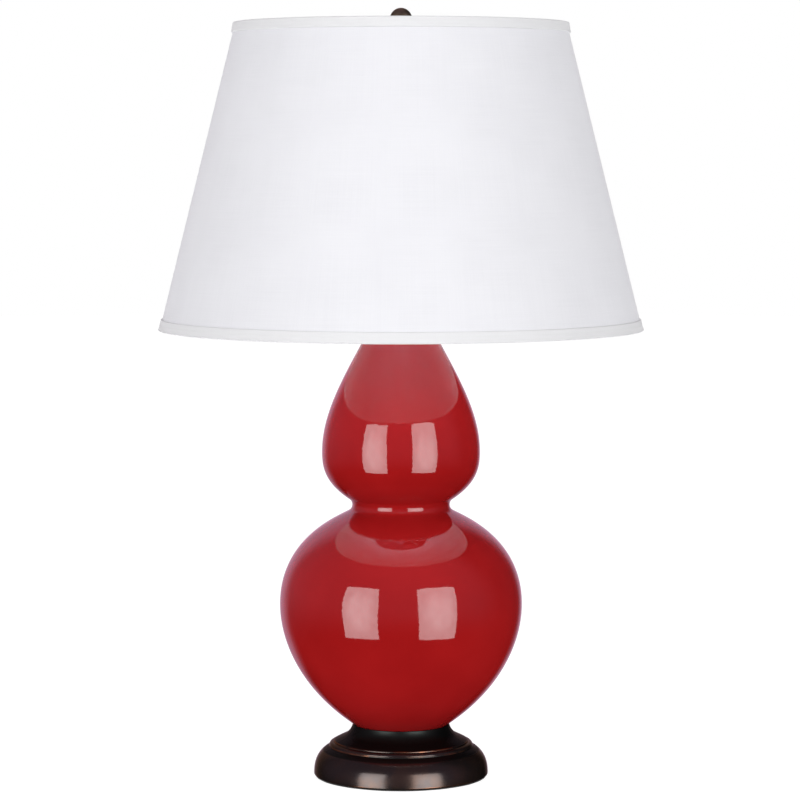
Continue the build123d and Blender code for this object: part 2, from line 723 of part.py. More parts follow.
def make_set_screw():
    """The slotted screw that keeps the socket from turning on the rod."""
    shank = Cylinder(set_screw_radius, hub_radius - rod_radius, align=LOW)
    shank = Pos(0, rod_radius + 0.05, 0) * BACK * shank
    head = Pos(0, hub_radius + 0.05, 0) * BACK * Cylinder(set_screw_head, set_screw_head_thick, align=LOW)
    head = fillet(head.edges().sort_by(Axis.Y)[-1], 0.6)
    slot = Pos(0, hub_radius + set_screw_head_thick, 0) * Box(set_screw_head * 2, 1.6, screw_slot)
    return Pos(0, 0, set_screw_z) * (shank + head - slot)


def key_slot(low):
    """The slot, open at the bottom, that lets a socket layer pass over the key's shaft."""
    half = shaft_radius + key_slot_gap
    reach = cup_radius * 2
    opening = Pos(0, 0, key_z) * FRONT * Cylinder(half, reach, align=LOW)
    slot = Box(half * 2, reach, key_z - low, align=(Align.CENTER, Align.MAX, Align.MIN))
    return opening + Pos(0, 0, low) * slot


def make_shell():
    """The spun socket shell: a rolled bead near the top, a turned-in lip and the slot for the key."""
    out, inside = shell_radius, shell_radius - shell_wall
    lip, under_z = inside - shell_lip, shell_top_z - shell_wall
    bead_z = shell_top_z - shell_bead_drop
    bead_low, bead_high = bead_z - shell_bead_half, bead_z + shell_bead_half
    round_in, round_z = out - shell_lip_round, shell_top_z - shell_lip_round
    body = turned(
        Line((out, shell_z), (out, bead_low)),
        ThreePointArc((out, bead_low), (out + shell_bead, bead_z), (out, bead_high)),
        Line((out, bead_high), (out, round_z)),
        RadiusArc((out, round_z), (round_in, shell_top_z), -shell_lip_round),
        Polyline((round_in, shell_top_z), (lip, shell_top_z), (lip, under_z), (inside, under_z),
                 (inside, shell_z), (out, shell_z)),
    )
    return body - key_slot(shell_z)


def make_card_sleeve():
    """The insulating card sleeve inside the shell."""
    body = disc(sleeve_radius, block_z, shell_top_z - shell_wall - 0.4 - block_z, sleeve_radius - sleeve_wall)
    return body - key_slot(block_z)


def make_block():
    """The moulded switch block, with flats for the terminals and a blind bore for the key's shaft."""
    body = chamfered(disc(block_radius, block_z, block_height), 1.0, block_z, block_top_z)
    for side in (-1, 1):
        at = Pos(side * terminal_reach, 0, block_z)
        flat_align = (Align.MIN if side > 0 else Align.MAX, Align.CENTER, Align.MIN)
        body -= at * Box(block_radius, terminal_head * 3, terminal_height * 2, align=flat_align)
        drill = Pos(side * (terminal_reach - terminal_shank_length), 0, block_z + terminal_height)
        body -= drill * Rot(0, 90 * side, 0) * Cylinder(terminal_shank + 0.05, block_radius, align=LOW)
    bore = Cylinder(shaft_radius + shaft_clearance, block_radius * 2, align=LOW)
    return body - Pos(0, -shaft_root + 0.3, key_z) * FRONT * bore


def make_terminal_screws():
    """The two wire terminals on the switch block."""
    screw = Cylinder(terminal_shank, terminal_shank_length, align=LOW)
    head = Pos(0, 0, terminal_shank_length) * Cylinder(terminal_head, terminal_head_thick, align=LOW)
    head = fillet(head.edges().sort_by(Axis.Z)[-1], 0.5)
    screw += head
    screw -= Pos(0, 0, terminal_shank_length + terminal_head_thick) * Box(terminal_head * 2, screw_slot, 1.6)
    pair = []
    for side in (-1, 1):
        at = Pos(side * (terminal_reach - terminal_shank_length + 0.05), 0, block_z + terminal_height)
        pair.append(at * Rot(0, 90 * side, 0) * screw)
    return Compound(children=pair)


def make_screw_shell():
    """The metal shell that the bulb screws into, with the flange that rivets it to the block."""
    inside = screw_shell_radius - screw_shell_wall
    top = block_top_z + screw_shell_height
    return turned_through(
        (inside - 4, block_top_z), (screw_shell_radius, block_top_z), (screw_shell_radius, top - 1),
        (screw_shell_radius + 0.5, top), (inside + 0.5, top), (inside, top - 1),
        (inside, block_top_z + screw_shell_wall), (inside - 4, block_top_z + screw_shell_wall),
    )


def make_center_contact():
    """The sprung tongue under the bulb's button."""
    half = contact_reach / 2
    rise = contact_rise - contact_thick
    low = block_top_z
    tongue = Polyline(
        (-half - 1, low), (-half + 1.5, low), (0, low + rise), (half, low + rise), (half, low + contact_rise),
        (-0.4, low + contact_rise), (-half + 1.2, low + contact_thick), (-half - 1, low + contact_thick),
        close=True)
    return extrude(Plane.XZ * make_face(tongue), contact_width / 2, both=True)


# ------------------------------------------------------------------ switch key
def make_shaft():
    """The switch's turning shaft."""
    shaft = Pos(0, -shaft_root, key_z) * FRONT * Cylinder(shaft_radius, shaft_reach - shaft_root, align=LOW)
    return chamfer(shaft.edges().sort_by(Axis.Y)[0], 0.4)


def make_key():
    """The turn key: a round hub and a flat rounded paddle."""
    start = shell_radius + key_stand_off
    hub = Pos(0, -start, 0) * FRONT * Cylinder(key_hub_radius, key_hub_length, align=LOW)
    hub = fillet(hub.edges().sort_by(Axis.Y)[-1], 0.8)
    paddle_outline = Rectangle(key_paddle_width, key_paddle_length)
    paddle_outline = fillet(paddle_outline.vertices(), key_paddle_length * 0.42)
    paddle = extrude(paddle_outline, key_paddle_thick / 2, both=True)
    paddle = fillet(paddle.edges().filter_by(Plane.XY), key_paddle_thick * 0.3)
    key = hub + Pos(0, -start - key_hub_length - key_paddle_length / 2 + 2, 0) * paddle
    depth = shaft_reach - start
    key -= Pos(0, -start + 1, 0) * FRONT * Cylinder(shaft_radius + 0.02, depth + 1, align=LOW)
    return Pos(0, 0, key_z) * key


# ------------------------------------------------------------------ bulb
def glass_outline(inset):
    """The bulb's glass from the neck to the crown, drawn at a depth inside its face."""
    centre_z = bulb_z + bulb_length - bulb_radius
    angle = radians(bulb_tangent)
    ball = bulb_radius - inset
    neck = bulb_neck_radius - inset
    low = bulb_cap_top_z - bulb_neck_depth
    high = bulb_cap_top_z + 1
    join = Vector(ball * cos(angle), centre_z - ball * sin(angle))
    return [
        Line((neck, low), (neck, high)),
        Bezier((neck, high), (neck, high + bulb_neck_pull),
               join - Vector(sin(angle), cos(angle)) * bulb_ball_pull, join),
        ThreePointArc(join, (ball * cos(radians(40)), centre_z + ball * sin(radians(40))),
                      (0, centre_z + ball)),
    ]


def make_globe():
    """The bulb's glass, a thin blown shell."""
    outer, inner = glass_outline(0), glass_outline(bulb_glass)
    return turned(*outer, Line(outer[-1] @ 1, inner[-1] @ 1), *inner, Line(inner[0] @ 0, outer[0] @ 0))


def make_bulb_cap():
    """The bulb's screw cap, a thin metal cup with a sloped foot."""
    inside = bulb_cap_radius - bulb_cap_wall
    slope = bulb_cap_z + bulb_cap_foot
    throat = bulb_insulator_radius - 1.5
    return turned_through(
        (throat, bulb_cap_z), (bulb_insulator_radius, bulb_cap_z), (bulb_cap_radius, slope),
        (bulb_cap_radius, bulb_cap_top_z), (inside, bulb_cap_top_z), (inside, slope + 0.2),
        (bulb_insulator_radius - 0.4, bulb_cap_z + bulb_cap_wall), (throat, bulb_cap_z + bulb_cap_wall),
    )


def make_bulb_insulator():
    """The moulded glass ring between the bulb's cap and its button."""
    low = bulb_z + bulb_button_thick
    return turned_through(
        (0, low), (bulb_button_radius + 0.6, low), (bulb_insulator_radius, bulb_cap_z), (0, bulb_cap_z))


def make_bulb_button():
    """The bulb's centre contact."""
    return chamfered(disc(bulb_button_radius, bulb_z, bulb_button_thick), 0.5, bulb_z)


# ------------------------------------------------------------------ parts
gasket_low = disc(heel_radius - gasket_margin, web_top_z, gasket_thick, hole_radius + gasket_hole)
gasket_high = disc(neck_radius - neck_gasket_margin, mouth_z, gasket_thick, mouth_radius + neck_gasket_hole)
cover_low, cover_high = shade_z + trim_lining, shade_top_z - trim_lining

parts = {
    "felt_pad": make_felt(),
    "base_board": make_board(),
    "base_foot": make_foot(),
    "cord_bushing": make_bushing(),
    "bottom_washer": disc(bottom_washer_radius, bottom_washer_z, bottom_washer_thick, hole_radius),
    "lock_washer": make_lock_washer(),
    "bottom_nut": hex_nut(bottom_nut_z, nut_thick),
    "lamp_rod": make_rod(),
    "base_gasket": gasket_low,
    "ceramic_body": make_gourd(),
    "neck_gasket": gasket_high,
    "vase_cap": make_vase_cap(),
    "neck_spacer": make_neck(),
    "harp_saddle": make_saddle(),
    "top_nut": hex_nut(top_nut_z, top_nut_thick),
    "socket_cap": make_socket_cap(),
    "socket_set_screw": make_set_screw(),
    "socket_shell": make_shell(),
    "insulating_sleeve": make_card_sleeve(),
    "switch_block": make_block(),
    "terminal_screws": make_terminal_screws(),
    "screw_shell": make_screw_shell(),
    "center_contact": make_center_contact(),
    "switch_shaft": make_shaft(),
    "switch_key": make_key(),
    "bulb_globe": make_globe(),
    "bulb_cap": make_bulb_cap(),
    "bulb_insulator": make_bulb_insulator(),
    "bulb_button": make_bulb_button(),
    "harp_wire": make_harp(),
    "ferrule_left": make_ferrule(-1),
    "ferrule_right": make_ferrule(1),
    "harp_stud": make_stud(),
    "spider_arms": make_spider_arms(),
    "spider_washer": disc(washer_radius, seat_z, washer_thick, stud_boss_radius + sleeve_clearance),
    "top_ring": ring(top_ring_radius, top_ring_z),
    "bottom_ring": ring(bottom_ring_radius, bottom_ring_z),
    "shade_liner": cone_shell(fabric_thick, liner_thick, cover_low, cover_high),
    "shade_fabric": cone_shell(0, fabric_thick, cover_low, cover_high),
    "top_trim": make_top_trim(),
    "bottom_trim": trim(shade_z, 1, bottom_trim_width, bottom_ring_radius, bottom_ring_z, 0),
    "finial": make_finial(),
}

os.makedirs("parts", exist_ok=True)
for name, part in parts.items():
    export_step(part, f"parts/{name}.step")
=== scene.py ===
import logging
from collections.abc import Callable, Sequence
from dataclasses import dataclass
from enum import Enum
from math import atan2, cos, hypot, pi, radians, sin, sqrt, tan, tau

import bmesh
import bpy
from mathutils import Matrix, Vector


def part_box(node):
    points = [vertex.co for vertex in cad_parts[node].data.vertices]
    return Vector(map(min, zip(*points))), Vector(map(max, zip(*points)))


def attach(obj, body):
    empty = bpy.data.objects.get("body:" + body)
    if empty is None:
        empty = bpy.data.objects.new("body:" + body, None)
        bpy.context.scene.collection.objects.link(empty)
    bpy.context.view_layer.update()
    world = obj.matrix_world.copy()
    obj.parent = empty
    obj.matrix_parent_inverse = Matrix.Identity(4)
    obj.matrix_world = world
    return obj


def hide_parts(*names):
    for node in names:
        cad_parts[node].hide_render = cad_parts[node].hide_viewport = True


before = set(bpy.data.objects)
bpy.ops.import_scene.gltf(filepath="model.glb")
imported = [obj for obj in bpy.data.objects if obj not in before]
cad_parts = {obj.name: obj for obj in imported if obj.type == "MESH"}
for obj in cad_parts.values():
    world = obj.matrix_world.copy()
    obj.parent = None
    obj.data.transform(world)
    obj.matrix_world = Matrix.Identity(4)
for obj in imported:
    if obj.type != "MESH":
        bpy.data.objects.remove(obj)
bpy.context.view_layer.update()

# A double gourd table lamp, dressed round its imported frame. Metres, +Z up, origin on the table under
# the lamp's axis, front at -Y. Sizes are written in millimetres through MM, colours as 0 to 255.

log = logging.getLogger("lamp")

MM = 0.001
CREASE = radians(32)
Point = tuple[float, float]
Colour = tuple[float, float, float, float]
Link = bpy.types.NodeSocket


def rgb(red: float, green: float, blue: float) -> Colour:
    """Turn a display colour into the linear one that shaders use.

    Args:
        red, green, blue: Display values from 0 to 255.

    Returns:
        The linear colour with an alpha of 1.
    """
    def linear(value: float) -> float:
        """Undo the display curve for one value."""
        share = value / 255
        return share / 12.92 if share <= 0.04045 else ((share + 0.055) / 1.055) ** 2.4

    return (linear(red), linear(green), linear(blue), 1.0)


# ---------------------------------------------------------------- shader expressions
class Num:
    """One varying number of a shader, so that shader maths reads as an expression."""

    def __init__(self, graph: "Graph", socket: Link) -> None:
        """Keep the graph and the socket that the number comes from."""
        self.graph = graph
        self.socket = socket

    def _math(self, operation: str, first: "Num | float", second: "Num | float" = 0.0) -> "Num":
        """Add one Math node.

        Args:
            operation: The Math node's operation.
            first: The first term.
            second: The second term, unused by operations of one term.

        Returns:
            The node's result.
        """
        node = self.graph.add("ShaderNodeMath", {"operation": operation}, {0: first, 1: second})
        return Num(self.graph, node.outputs[0])

    def __add__(self, other: "Num | float") -> "Num":
        """self + other."""
        return self._math("ADD", self, other)

    __radd__ = __add__

    def __sub__(self, other: "Num | float") -> "Num":
        """self - other."""
        return self._math("SUBTRACT", self, other)

    def __rsub__(self, other: float) -> "Num":
        """other - self."""
        return self._math("SUBTRACT", other, self)

    def __mul__(self, other: "Num | float") -> "Num":
        """self * other."""
        return self._math("MULTIPLY", self, other)

    __rmul__ = __mul__

    def sine(self) -> "Num":
        """The sine of an angle in radians."""
        return self._math("SINE", self)

    def size(self) -> "Num":
        """The value without its sign."""
        return self._math("ABSOLUTE", self)

    def larger(self, other: "Num | float") -> "Num":
        """The larger of two values."""
        return self._math("MAXIMUM", self, other)

    def angle(self, across: "Num") -> "Num":
        """The angle whose tangent is self over across."""
        return self._math("ARCTAN2", self, across)

    def rise(self, low: float, high: float) -> "Num":
        """Ease from 0 to 1 as the value passes from low to high.

        Args:
            low: Where the result leaves 0.
            high: Where the result reaches 1. Below low, the result falls instead.

        Returns:
            The eased share.
        """
        ends = {1: low, 2: high, 3: 0.0, 4: 1.0}
        if high < low:
            ends = {1: high, 2: low, 3: 1.0, 4: 0.0}
        settings = {"interpolation_type": "SMOOTHSTEP", "clamp": True}
        node = self.graph.add("ShaderNodeMapRange", settings, {0: self, **ends})
        return Num(self.graph, node.outputs[0])

    def band(self, middle: float, half: float, soft: float) -> "Num":
        """1 within half of middle, easing to 0 over soft beyond it.

        Args:
            middle: The band's middle.
            half: Half of its full width.
            soft: The width of each eased edge.

        Returns:
            The band's mask.
        """
        return (self - middle).size().rise(half + soft, half)


class Graph:
    """The node tree of one material or of the world."""

    def __init__(self, tree: bpy.types.NodeTree) -> None:
        """Start from an empty tree."""
        self.tree = tree
        tree.nodes.clear()

    def add(self, kind: str, settings: dict | None = None, sockets: dict | None = None) -> bpy.types.Node:
        """Add one node.

        Args:
            kind: The node's type.
            settings: Its properties, set first. "stops" are a colour ramp's (place, colour) pairs.
            sockets: Values or links for its inputs, by name or number.

        Returns:
            The node.
        """
        node = self.tree.nodes.new(kind)
        for key, value in (settings or {}).items():
            if key == "stops":
                elements = node.color_ramp.elements
                while len(elements) < len(value):
                    elements.new(1.0)
                for element, (place, colour) in zip(elements, value):
                    element.position = place
                    element.color = colour
            else:
                setattr(node, key, value)
        for key, value in (sockets or {}).items():
            value = value.socket if isinstance(value, Num) else value
            if isinstance(value, bpy.types.NodeSocket):
                self.tree.links.new(value, node.inputs[key])
            else:
                node.inputs[key].default_value = value
        return node

    def place(self) -> Link:
        """The shaded point in the lamp's own frame."""
        return self.add("ShaderNodeTexCoord").outputs["Object"]

    def split(self, vector: Link) -> tuple[Num, Num, Num]:
        """The three numbers of a vector."""
        node = self.add("ShaderNodeSeparateXYZ", None, {0: vector})
        return Num(self, node.outputs[0]), Num(self, node.outputs[1]), Num(self, node.outputs[2])

    def join(self, x: "Num | float", y: "Num | float", z: "Num | float") -> Link:
        """A vector from three numbers."""
        return self.add("ShaderNodeCombineXYZ", None, {0: x, 1: y, 2: z}).outputs[0]

    def noise(self, size: float, detail: float = 3.0, rough: float = 0.5, at: Link | None = None) -> Num:
        """Cloudy variation about 0.5.

        Args:
            size: The width of one blotch, in metres.
            detail: How many finer layers it has.
            rough: The weight of the finer layers.
            at: The place that it is read at, or None for the lamp's own frame.

        Returns:
            The noise, mostly from 0.3 to 0.7.
        """
        sockets = {"Vector": at or self.place(), "Scale": 1 / size, "Detail": detail, "Roughness": rough}
        return Num(self, self.add("ShaderNodeTexNoise", None, sockets).outputs[0])

    def cells(self, size: float) -> Num:
        """The distance to the nearest of many scattered points, 0 at the points.

        Args:
            size: The usual distance between points, in metres.

        Returns:
            The distance, as a share of size.
        """
        sockets = {"Vector": self.place(), "Scale": 1 / size}
        return Num(self, self.add("ShaderNodeTexVoronoi", None, sockets).outputs["Distance"])

    def mix(self, share: "Num | float", first: "Link | Colour", second: "Link | Colour") -> Link:
        """Blend two colours.

        Args:
            share: How much of the second colour shows.
            first, second: The two colours.

        Returns:
            The blended colour.
        """
        node = self.add("ShaderNodeMix", {"data_type": "RGBA"}, {0: share, 6: first, 7: second})
        return node.outputs[2]

    def bump(self, height: Num, depth: float) -> Link:
        """A normal that follows a relief.

        Args:
            height: The relief, from 0 to 1.
            depth: What a height of 1 stands for, in metres.

        Returns:
            The bent normal.
        """
        sockets = {"Height": height, "Distance": depth, "Strength": 1.0}
        return self.add("ShaderNodeBump", None, sockets).outputs[0]

    def surface(self, **sockets: "Num | Link | float | Colour") -> Link:
        """A Principled shader. An underscore in a socket's name stands for a space.

        Args:
            sockets: Values or links, by socket name.

        Returns:
            The shader.
        """
        named = {key.replace("_", " "): value for key, value in sockets.items()}
        return self.add("ShaderNodeBsdfPrincipled", None, named).outputs[0]

    def backlit(self, face: Link, tone: Colour, share: float) -> Link:
        """Let a share of the light from behind a face through it."""
        back = self.add("ShaderNodeBsdfTranslucent", None, {"Color": tone}).outputs[0]
        return self.add("ShaderNodeMixShader", None, {0: share, 1: face, 2: back}).outputs[0]


# ---------------------------------------------------------------- finishes
@dataclass(frozen=True)
class Finish:
    """A surface finish. name is the record's material slot."""

    name: str

    def shade(self, graph: Graph) -> Link:
        """Build the finish's shader. Each kind of finish has its own."""
        raise NotImplementedError

    def material(self) -> bpy.types.Material:
        """The finish's material, made once and then shared.

        Returns:
            The material.
        """
        name = f"{self.name}_finish"
        if name not in bpy.data.materials:
            made = bpy.data.materials.new(name)
            made.use_nodes = True
            graph = Graph(made.node_tree)
            graph.add("ShaderNodeOutputMaterial", None, {"Surface": self.shade(graph)})
        return bpy.data.materials[name]


@dataclass(frozen=True)
class Glaze(Finish):
    """Poured red glaze: clear, glassy and slightly uneven, thicker in some places than in others."""

    thin: Colour = rgb(160, 24, 25)
    thick: Colour = rgb(144, 18, 19)
    pool: float = 90 * MM
    sag: float = 34 * MM
    sag_depth: float = 0.5 * MM

    def shade(self, graph: Graph) -> Link:
        """Red under a mirror gloss, with slow waves, faint orange peel and a few pinholes."""
        pools = graph.noise(self.pool, 2.0).rise(0.35, 0.65)
        specks = graph.cells(7 * MM).rise(0.05, 0.028)
        body = graph.mix(pools * 0.5, self.thin, self.thick)
        body = graph.mix(specks * 0.3, body, rgb(90, 4, 8))
        waves = graph.noise(self.sag, 1.0, 0.3)
        peel = graph.noise(3.2 * MM, 2.0)
        relief = waves + peel * 0.004 - specks * 0.02
        return graph.surface(
            Base_Color=body, Roughness=0.035 + peel * 0.02, IOR=1.52, Specular_IOR_Level=0.56,
            Normal=graph.bump(relief, self.sag_depth))


@dataclass(frozen=True)
class Patina(Finish):
    """Dark bronze patina over copper that shows where hands and cloths have rubbed it."""

    dark: Colour = rgb(66, 63, 63)
    warm: Colour = rgb(84, 68, 60)
    # Painted shade: the darker patina that is painted where the foot lies under the gourd.
    painted_shade_tone: Colour = rgb(36, 39, 38)
    copper: Colour = rgb(190, 122, 82)
    edge: Colour = (0.37, 0.365, 0.28, 1.0)
    rubbed: tuple[tuple[float, float], ...] = ()
    rub: float = 0.6
    # The painted shade's heights, as a rise and as a band, and how much rougher the patina is there.
    painted_shade_above: Point = (34.6 * MM, 37.5 * MM)
    painted_shade_band: Point = (29.0 * MM, 1.8 * MM)
    rough: float = 0.17
    painted_shade_rough: float = 0.16
    grain: float = 0.004 * MM

    def shade(self, graph: Graph) -> Link:
        """Brown-black metal, blotched, brushed round its axis, worn at the rubbed heights, and painted darker, as
        shade, at the heights set for it.
        """
        x, y, height = graph.split(graph.place())
        blotch = graph.noise(26 * MM, 4.0, 0.6).rise(0.38, 0.68)
        fine = graph.noise(2.4 * MM, 4.0, 0.6)
        brushed = graph.noise(1.1 * MM, 2.0, 0.5, graph.join(x * 0.06, y * 0.06, height))
        worn: Num | float = fine.rise(0.7, 0.85) * 0.1
        for middle, half in self.rubbed:
            patchy = graph.noise(34 * MM, 3.0, 0.6, graph.join(x, y, height + middle * 31)).rise(0.42, 0.66)
            worn = worn.larger(height.band(middle, half, half * 0.8) * patchy * (0.3 + fine))
        worn = worn * self.rub
        # Painted shade: from the roll up and in a band at the dome's top, under the gourd, the patina is painted darker
        # and made rougher, which dims the gourd's reflection there.
        painted_shade = height.rise(*self.painted_shade_above).larger(height.band(*self.painted_shade_band, 1.4 * MM))
        tone = graph.mix(0.15 + blotch * 0.6, self.dark, self.warm)
        tone = graph.mix(painted_shade, tone, self.painted_shade_tone)
        tone = graph.mix(worn, tone, self.copper)
        return graph.surface(
            Base_Color=tone, Metallic=0.88 + worn * 0.12, Specular_Tint=self.edge,
            Roughness=self.rough + painted_shade * self.painted_shade_rough + blotch * 0.04 + (brushed - 0.5) * 0.08,
            Normal=graph.bump(brushed * 0.5 + fine, self.grain))


@dataclass(frozen=True)
class BareMetal(Finish):
    """Plain metal with drawn or turned lines, slight stains and duller patches."""

    tone: Colour = rgb(200, 196, 188)
    stain: Colour = rgb(150, 140, 125)
    rough: float = 0.28
    line: float = 0.5 * MM
    along: tuple[float, float, float] = (0.05, 0.05, 1.0)

    def shade(self, graph: Graph) -> Link:
        """Metal whose fine lines run across the given direction."""
        x, y, z = graph.split(graph.place())
        lines = graph.noise(self.line, 2.0, 0.5, graph.join(x * self.along[0], y * self.along[1], z * self.along[2]))
        stains = graph.noise(9 * MM, 4.0, 0.6).rise(0.45, 0.72)
        return graph.surface(
            Base_Color=graph.mix(stains * 0.6, self.tone, self.stain), Metallic=1.0,
            Roughness=self.rough + stains * 0.12 + (lines - 0.5) * 0.16,
            Normal=graph.bump(lines, 0.01 * MM))


@dataclass(frozen=True)
class Threaded(Finish):
    """Zinc or brass with a thread cut round the lamp's axis, on its shank alone."""

    tone: Colour = rgb(190, 192, 196)
    groove_tone: Colour = rgb(96, 92, 84)
    shank: float = 5.1 * MM
    pitch: float = 0.94 * MM
    depth: float = 0.32 * MM

    def shade(self, graph: Graph) -> Link:
        """Metal with a helical groove, darker in the groove and more so where stained."""
        x, y, z = graph.split(graph.place())
        wave = (z * (tau / self.pitch) - y.angle(x)).sine() * 0.5 + 0.5
        on_shank = (x * x + y * y).rise((self.shank * 1.06) ** 2, (self.shank * 1.02) ** 2)
        groove = (1 - wave) * on_shank
        stains = graph.noise(9 * MM, 4.0, 0.6).rise(0.4, 0.7)
        # Darker in the groove, more so where stained.
        return graph.surface(
            Base_Color=graph.mix(groove * (0.35 + stains * 0.4), self.tone, self.groove_tone), Metallic=1.0,
            Roughness=0.32 + stains * 0.1 + groove * 0.1, Normal=graph.bump(1 - groove, self.depth))


@dataclass(frozen=True)
class Moulded(Finish):
    """Plastic, rubber, paint or pressed board: one colour with mottling, speckle and a fine skin."""

    tone: Colour = rgb(230, 230, 226)
    mottle: Colour = rgb(214, 212, 204)
    rough: float = 0.4
    skin: float = 0.6 * MM
    depth: float = 0.02 * MM
    coat: float = 0.0

    def shade(self, graph: Graph) -> Link:
        """The colour, its mottling and its skin."""
        cloud = graph.noise(11 * MM, 4.0, 0.6).rise(0.4, 0.7)
        skin = graph.noise(self.skin, 3.0, 0.6)
        return graph.surface(
            Base_Color=graph.mix(cloud * 0.7, self.tone, self.mottle), Coat_Weight=self.coat,
            Roughness=self.rough + cloud * 0.06 + (skin - 0.5) * 0.1,
            Normal=graph.bump(skin, self.depth))


@dataclass(frozen=True)
class Cloth(Finish):
    """Plain-woven cloth laid round the lamp's axis, with uneven yarns, and light showing through."""

    tone: Colour = rgb(244, 244, 248)
    shadow: Colour = rgb(222, 222, 227)
    ends_round: int = 2200
    pick: float = 0.62 * MM
    depth: float = 0.07 * MM
    through: float = 0.1
    slant: float = 0.0

    def shade(self, graph: Graph) -> Link:
        """Warp, weft, slubs in both directions, and a share of light from behind."""
        x, y, z = graph.split(graph.place())
        round_it = y.angle(x)
        warp = (round_it * self.ends_round + z * self.slant).sine()
        weft = (z * (tau / self.pick)).sine()
        weave = 0.5 + warp * weft * 0.5
        thick_ends = graph.noise(1.0, 2.0, 0.6, graph.join(round_it * 330, z * 9, 0.0))
        thick_picks = graph.noise(1.0, 2.0, 0.6, graph.join(round_it * 3, z * 1500, 4.0))
        slubs = (thick_ends + thick_picks) * 0.5
        cloud = graph.noise(60 * MM, 3.0)
        shadow = (0.5 - weave) * 0.18 + (0.5 - slubs) * 0.6 + (cloud - 0.5) * 0.3 + 0.3
        tone = graph.mix(shadow.rise(0.0, 1.0), self.tone, self.shadow)
        relief = graph.bump(weave * 0.5 + slubs * 0.5, self.depth)
        face = graph.surface(Base_Color=tone, Roughness=0.86, Specular_IOR_Level=0.25, Sheen_Weight=0.15,
                             Sheen_Roughness=0.5, Normal=relief)
        return graph.backlit(face, self.tone, self.through)


@dataclass(frozen=True)
class Felt(Finish):
    """Pressed felt: matted fibres with no weave."""

    tone: Colour = rgb(38, 36, 36)
    light: Colour = rgb(70, 67, 66)

    def shade(self, graph: Graph) -> Link:
        """Matted fibres, lighter where they stand up."""
        fibres = graph.noise(1.3 * MM, 6.0, 0.75)
        mat = graph.noise(14 * MM, 3.0)
        tone = graph.mix(fibres.rise(0.42, 0.72) * 0.8 + (mat - 0.5) * 0.5, self.tone, self.light)
        return graph.surface(Base_Color=tone, Roughness=0.96, Specular_IOR_Level=0.1, Sheen_Weight=0.3,
                             Normal=graph.bump(fibres, 0.35 * MM))


@dataclass(frozen=True)
class Fibrous(Finish):
    """Pressed fibre board or card, with short fibres lying flat."""

    tone: Colour = rgb(122, 92, 62)
    fleck: Colour = rgb(84, 62, 42)

    def shade(self, graph: Graph) -> Link:
        """Flecks drawn out along one direction over a mottled ground."""
        x, y, z = graph.split(graph.place())
        flecks = graph.noise(1.4 * MM, 4.0, 0.7, graph.join(x * 0.3, y, z * 0.6)).rise(0.48, 0.7)
        cloud = graph.noise(18 * MM, 3.0)
        tone = graph.mix(flecks * 0.7 + (cloud - 0.5) * 0.4, self.tone, self.fleck)
        return graph.surface(Base_Color=tone, Roughness=0.82 + flecks * 0.08,
                             Normal=graph.bump(flecks, 0.04 * MM))


@dataclass(frozen=True)
class FrostedGlass(Finish):
    """Bulb glass coated white on its inside."""

    tone: Colour = rgb(246, 245, 240)
    through: float = 0.3

    def shade(self, graph: Graph) -> Link:
        """White powder behind clear glass."""
        powder = graph.noise(3 * MM, 5.0, 0.6)
        face = graph.surface(Base_Color=graph.mix(powder.rise(0.4, 0.7) * 0.3, self.tone, rgb(228, 226, 220)),
                             Roughness=0.12 + powder * 0.06, Coat_Weight=0.6,
                             Normal=graph.bump(powder, 0.006 * MM))
        return graph.backlit(face, self.tone, self.through)


class Surface(Enum):
    """The lamp's finishes, each named after its slot in the record."""

    FELT = Felt("felt")
    FIBREBOARD = Fibrous("fibreboard")
    # The foot keeps the painted shade from the roll up and at the dome's top.
    FOOT = Patina("patina_bronze", rubbed=(
        (31.6 * MM, 0.5 * MM), (35.9 * MM, 0.5 * MM), (2.2 * MM, 0.6 * MM)), rub=0.4)
    # The fittings get no painted shade: its heights lie beyond them.
    FITTING = Patina("finial_bronze", dark=rgb(92, 84, 74), warm=rgb(134, 122, 104), rough=0.36,
                     painted_shade_above=(2.0, 3.0), painted_shade_band=(-1.0, 0.1), grain=0.02 * MM)
    GLAZE = Glaze("glaze")
    BRASS = BareMetal("brass", rgb(206, 168, 98), rgb(150, 112, 62), 0.3)
    ROD_THREAD = Threaded("zinc_steel_thread")
    STUD_THREAD = Threaded("brass_thread", rgb(206, 168, 98), rgb(110, 82, 44), shank=3.1 * MM)
    ZINC = BareMetal("zinc_steel", rgb(190, 192, 196), rgb(150, 148, 140), 0.34)
    BULB_METAL = BareMetal("bulb_metal", rgb(206, 206, 204), rgb(170, 168, 160), 0.24)
    SOLDER = BareMetal("solder", rgb(176, 176, 174), rgb(130, 128, 124), 0.42)
    RUBBER = Moulded("gasket_rubber", rgb(40, 40, 42), rgb(54, 53, 52), 0.75, depth=0.04 * MM)
    PHENOLIC = Moulded("phenolic", rgb(30, 26, 24), rgb(44, 38, 34), 0.38, coat=0.2)
    KEY = Moulded("key_plastic", rgb(24, 22, 22), rgb(36, 33, 32), 0.32, coat=0.3)
    CARD = Fibrous("card", rgb(196, 178, 146), rgb(160, 140, 108))
    GLASS = FrostedGlass("bulb_glass")
    VITRITE = Moulded("bulb_vitrite", rgb(22, 22, 26), rgb(34, 34, 40), 0.15, coat=0.8)
    PAINTED_WIRE = Moulded("white_wire", rgb(238, 238, 234), rgb(224, 223, 216), 0.42, coat=0.2)
    STYRENE = Cloth("styrene", rgb(247, 247, 248), rgb(240, 240, 241), 900, 1.5 * MM, 0.01 * MM, 0.35)
    LINEN = Cloth("linen")
    TAPE = Cloth("linen_trim", rgb(240, 240, 242), rgb(227, 227, 229), 1500, 0.8 * MM, 0.12 * MM, 0.1, 900.0)


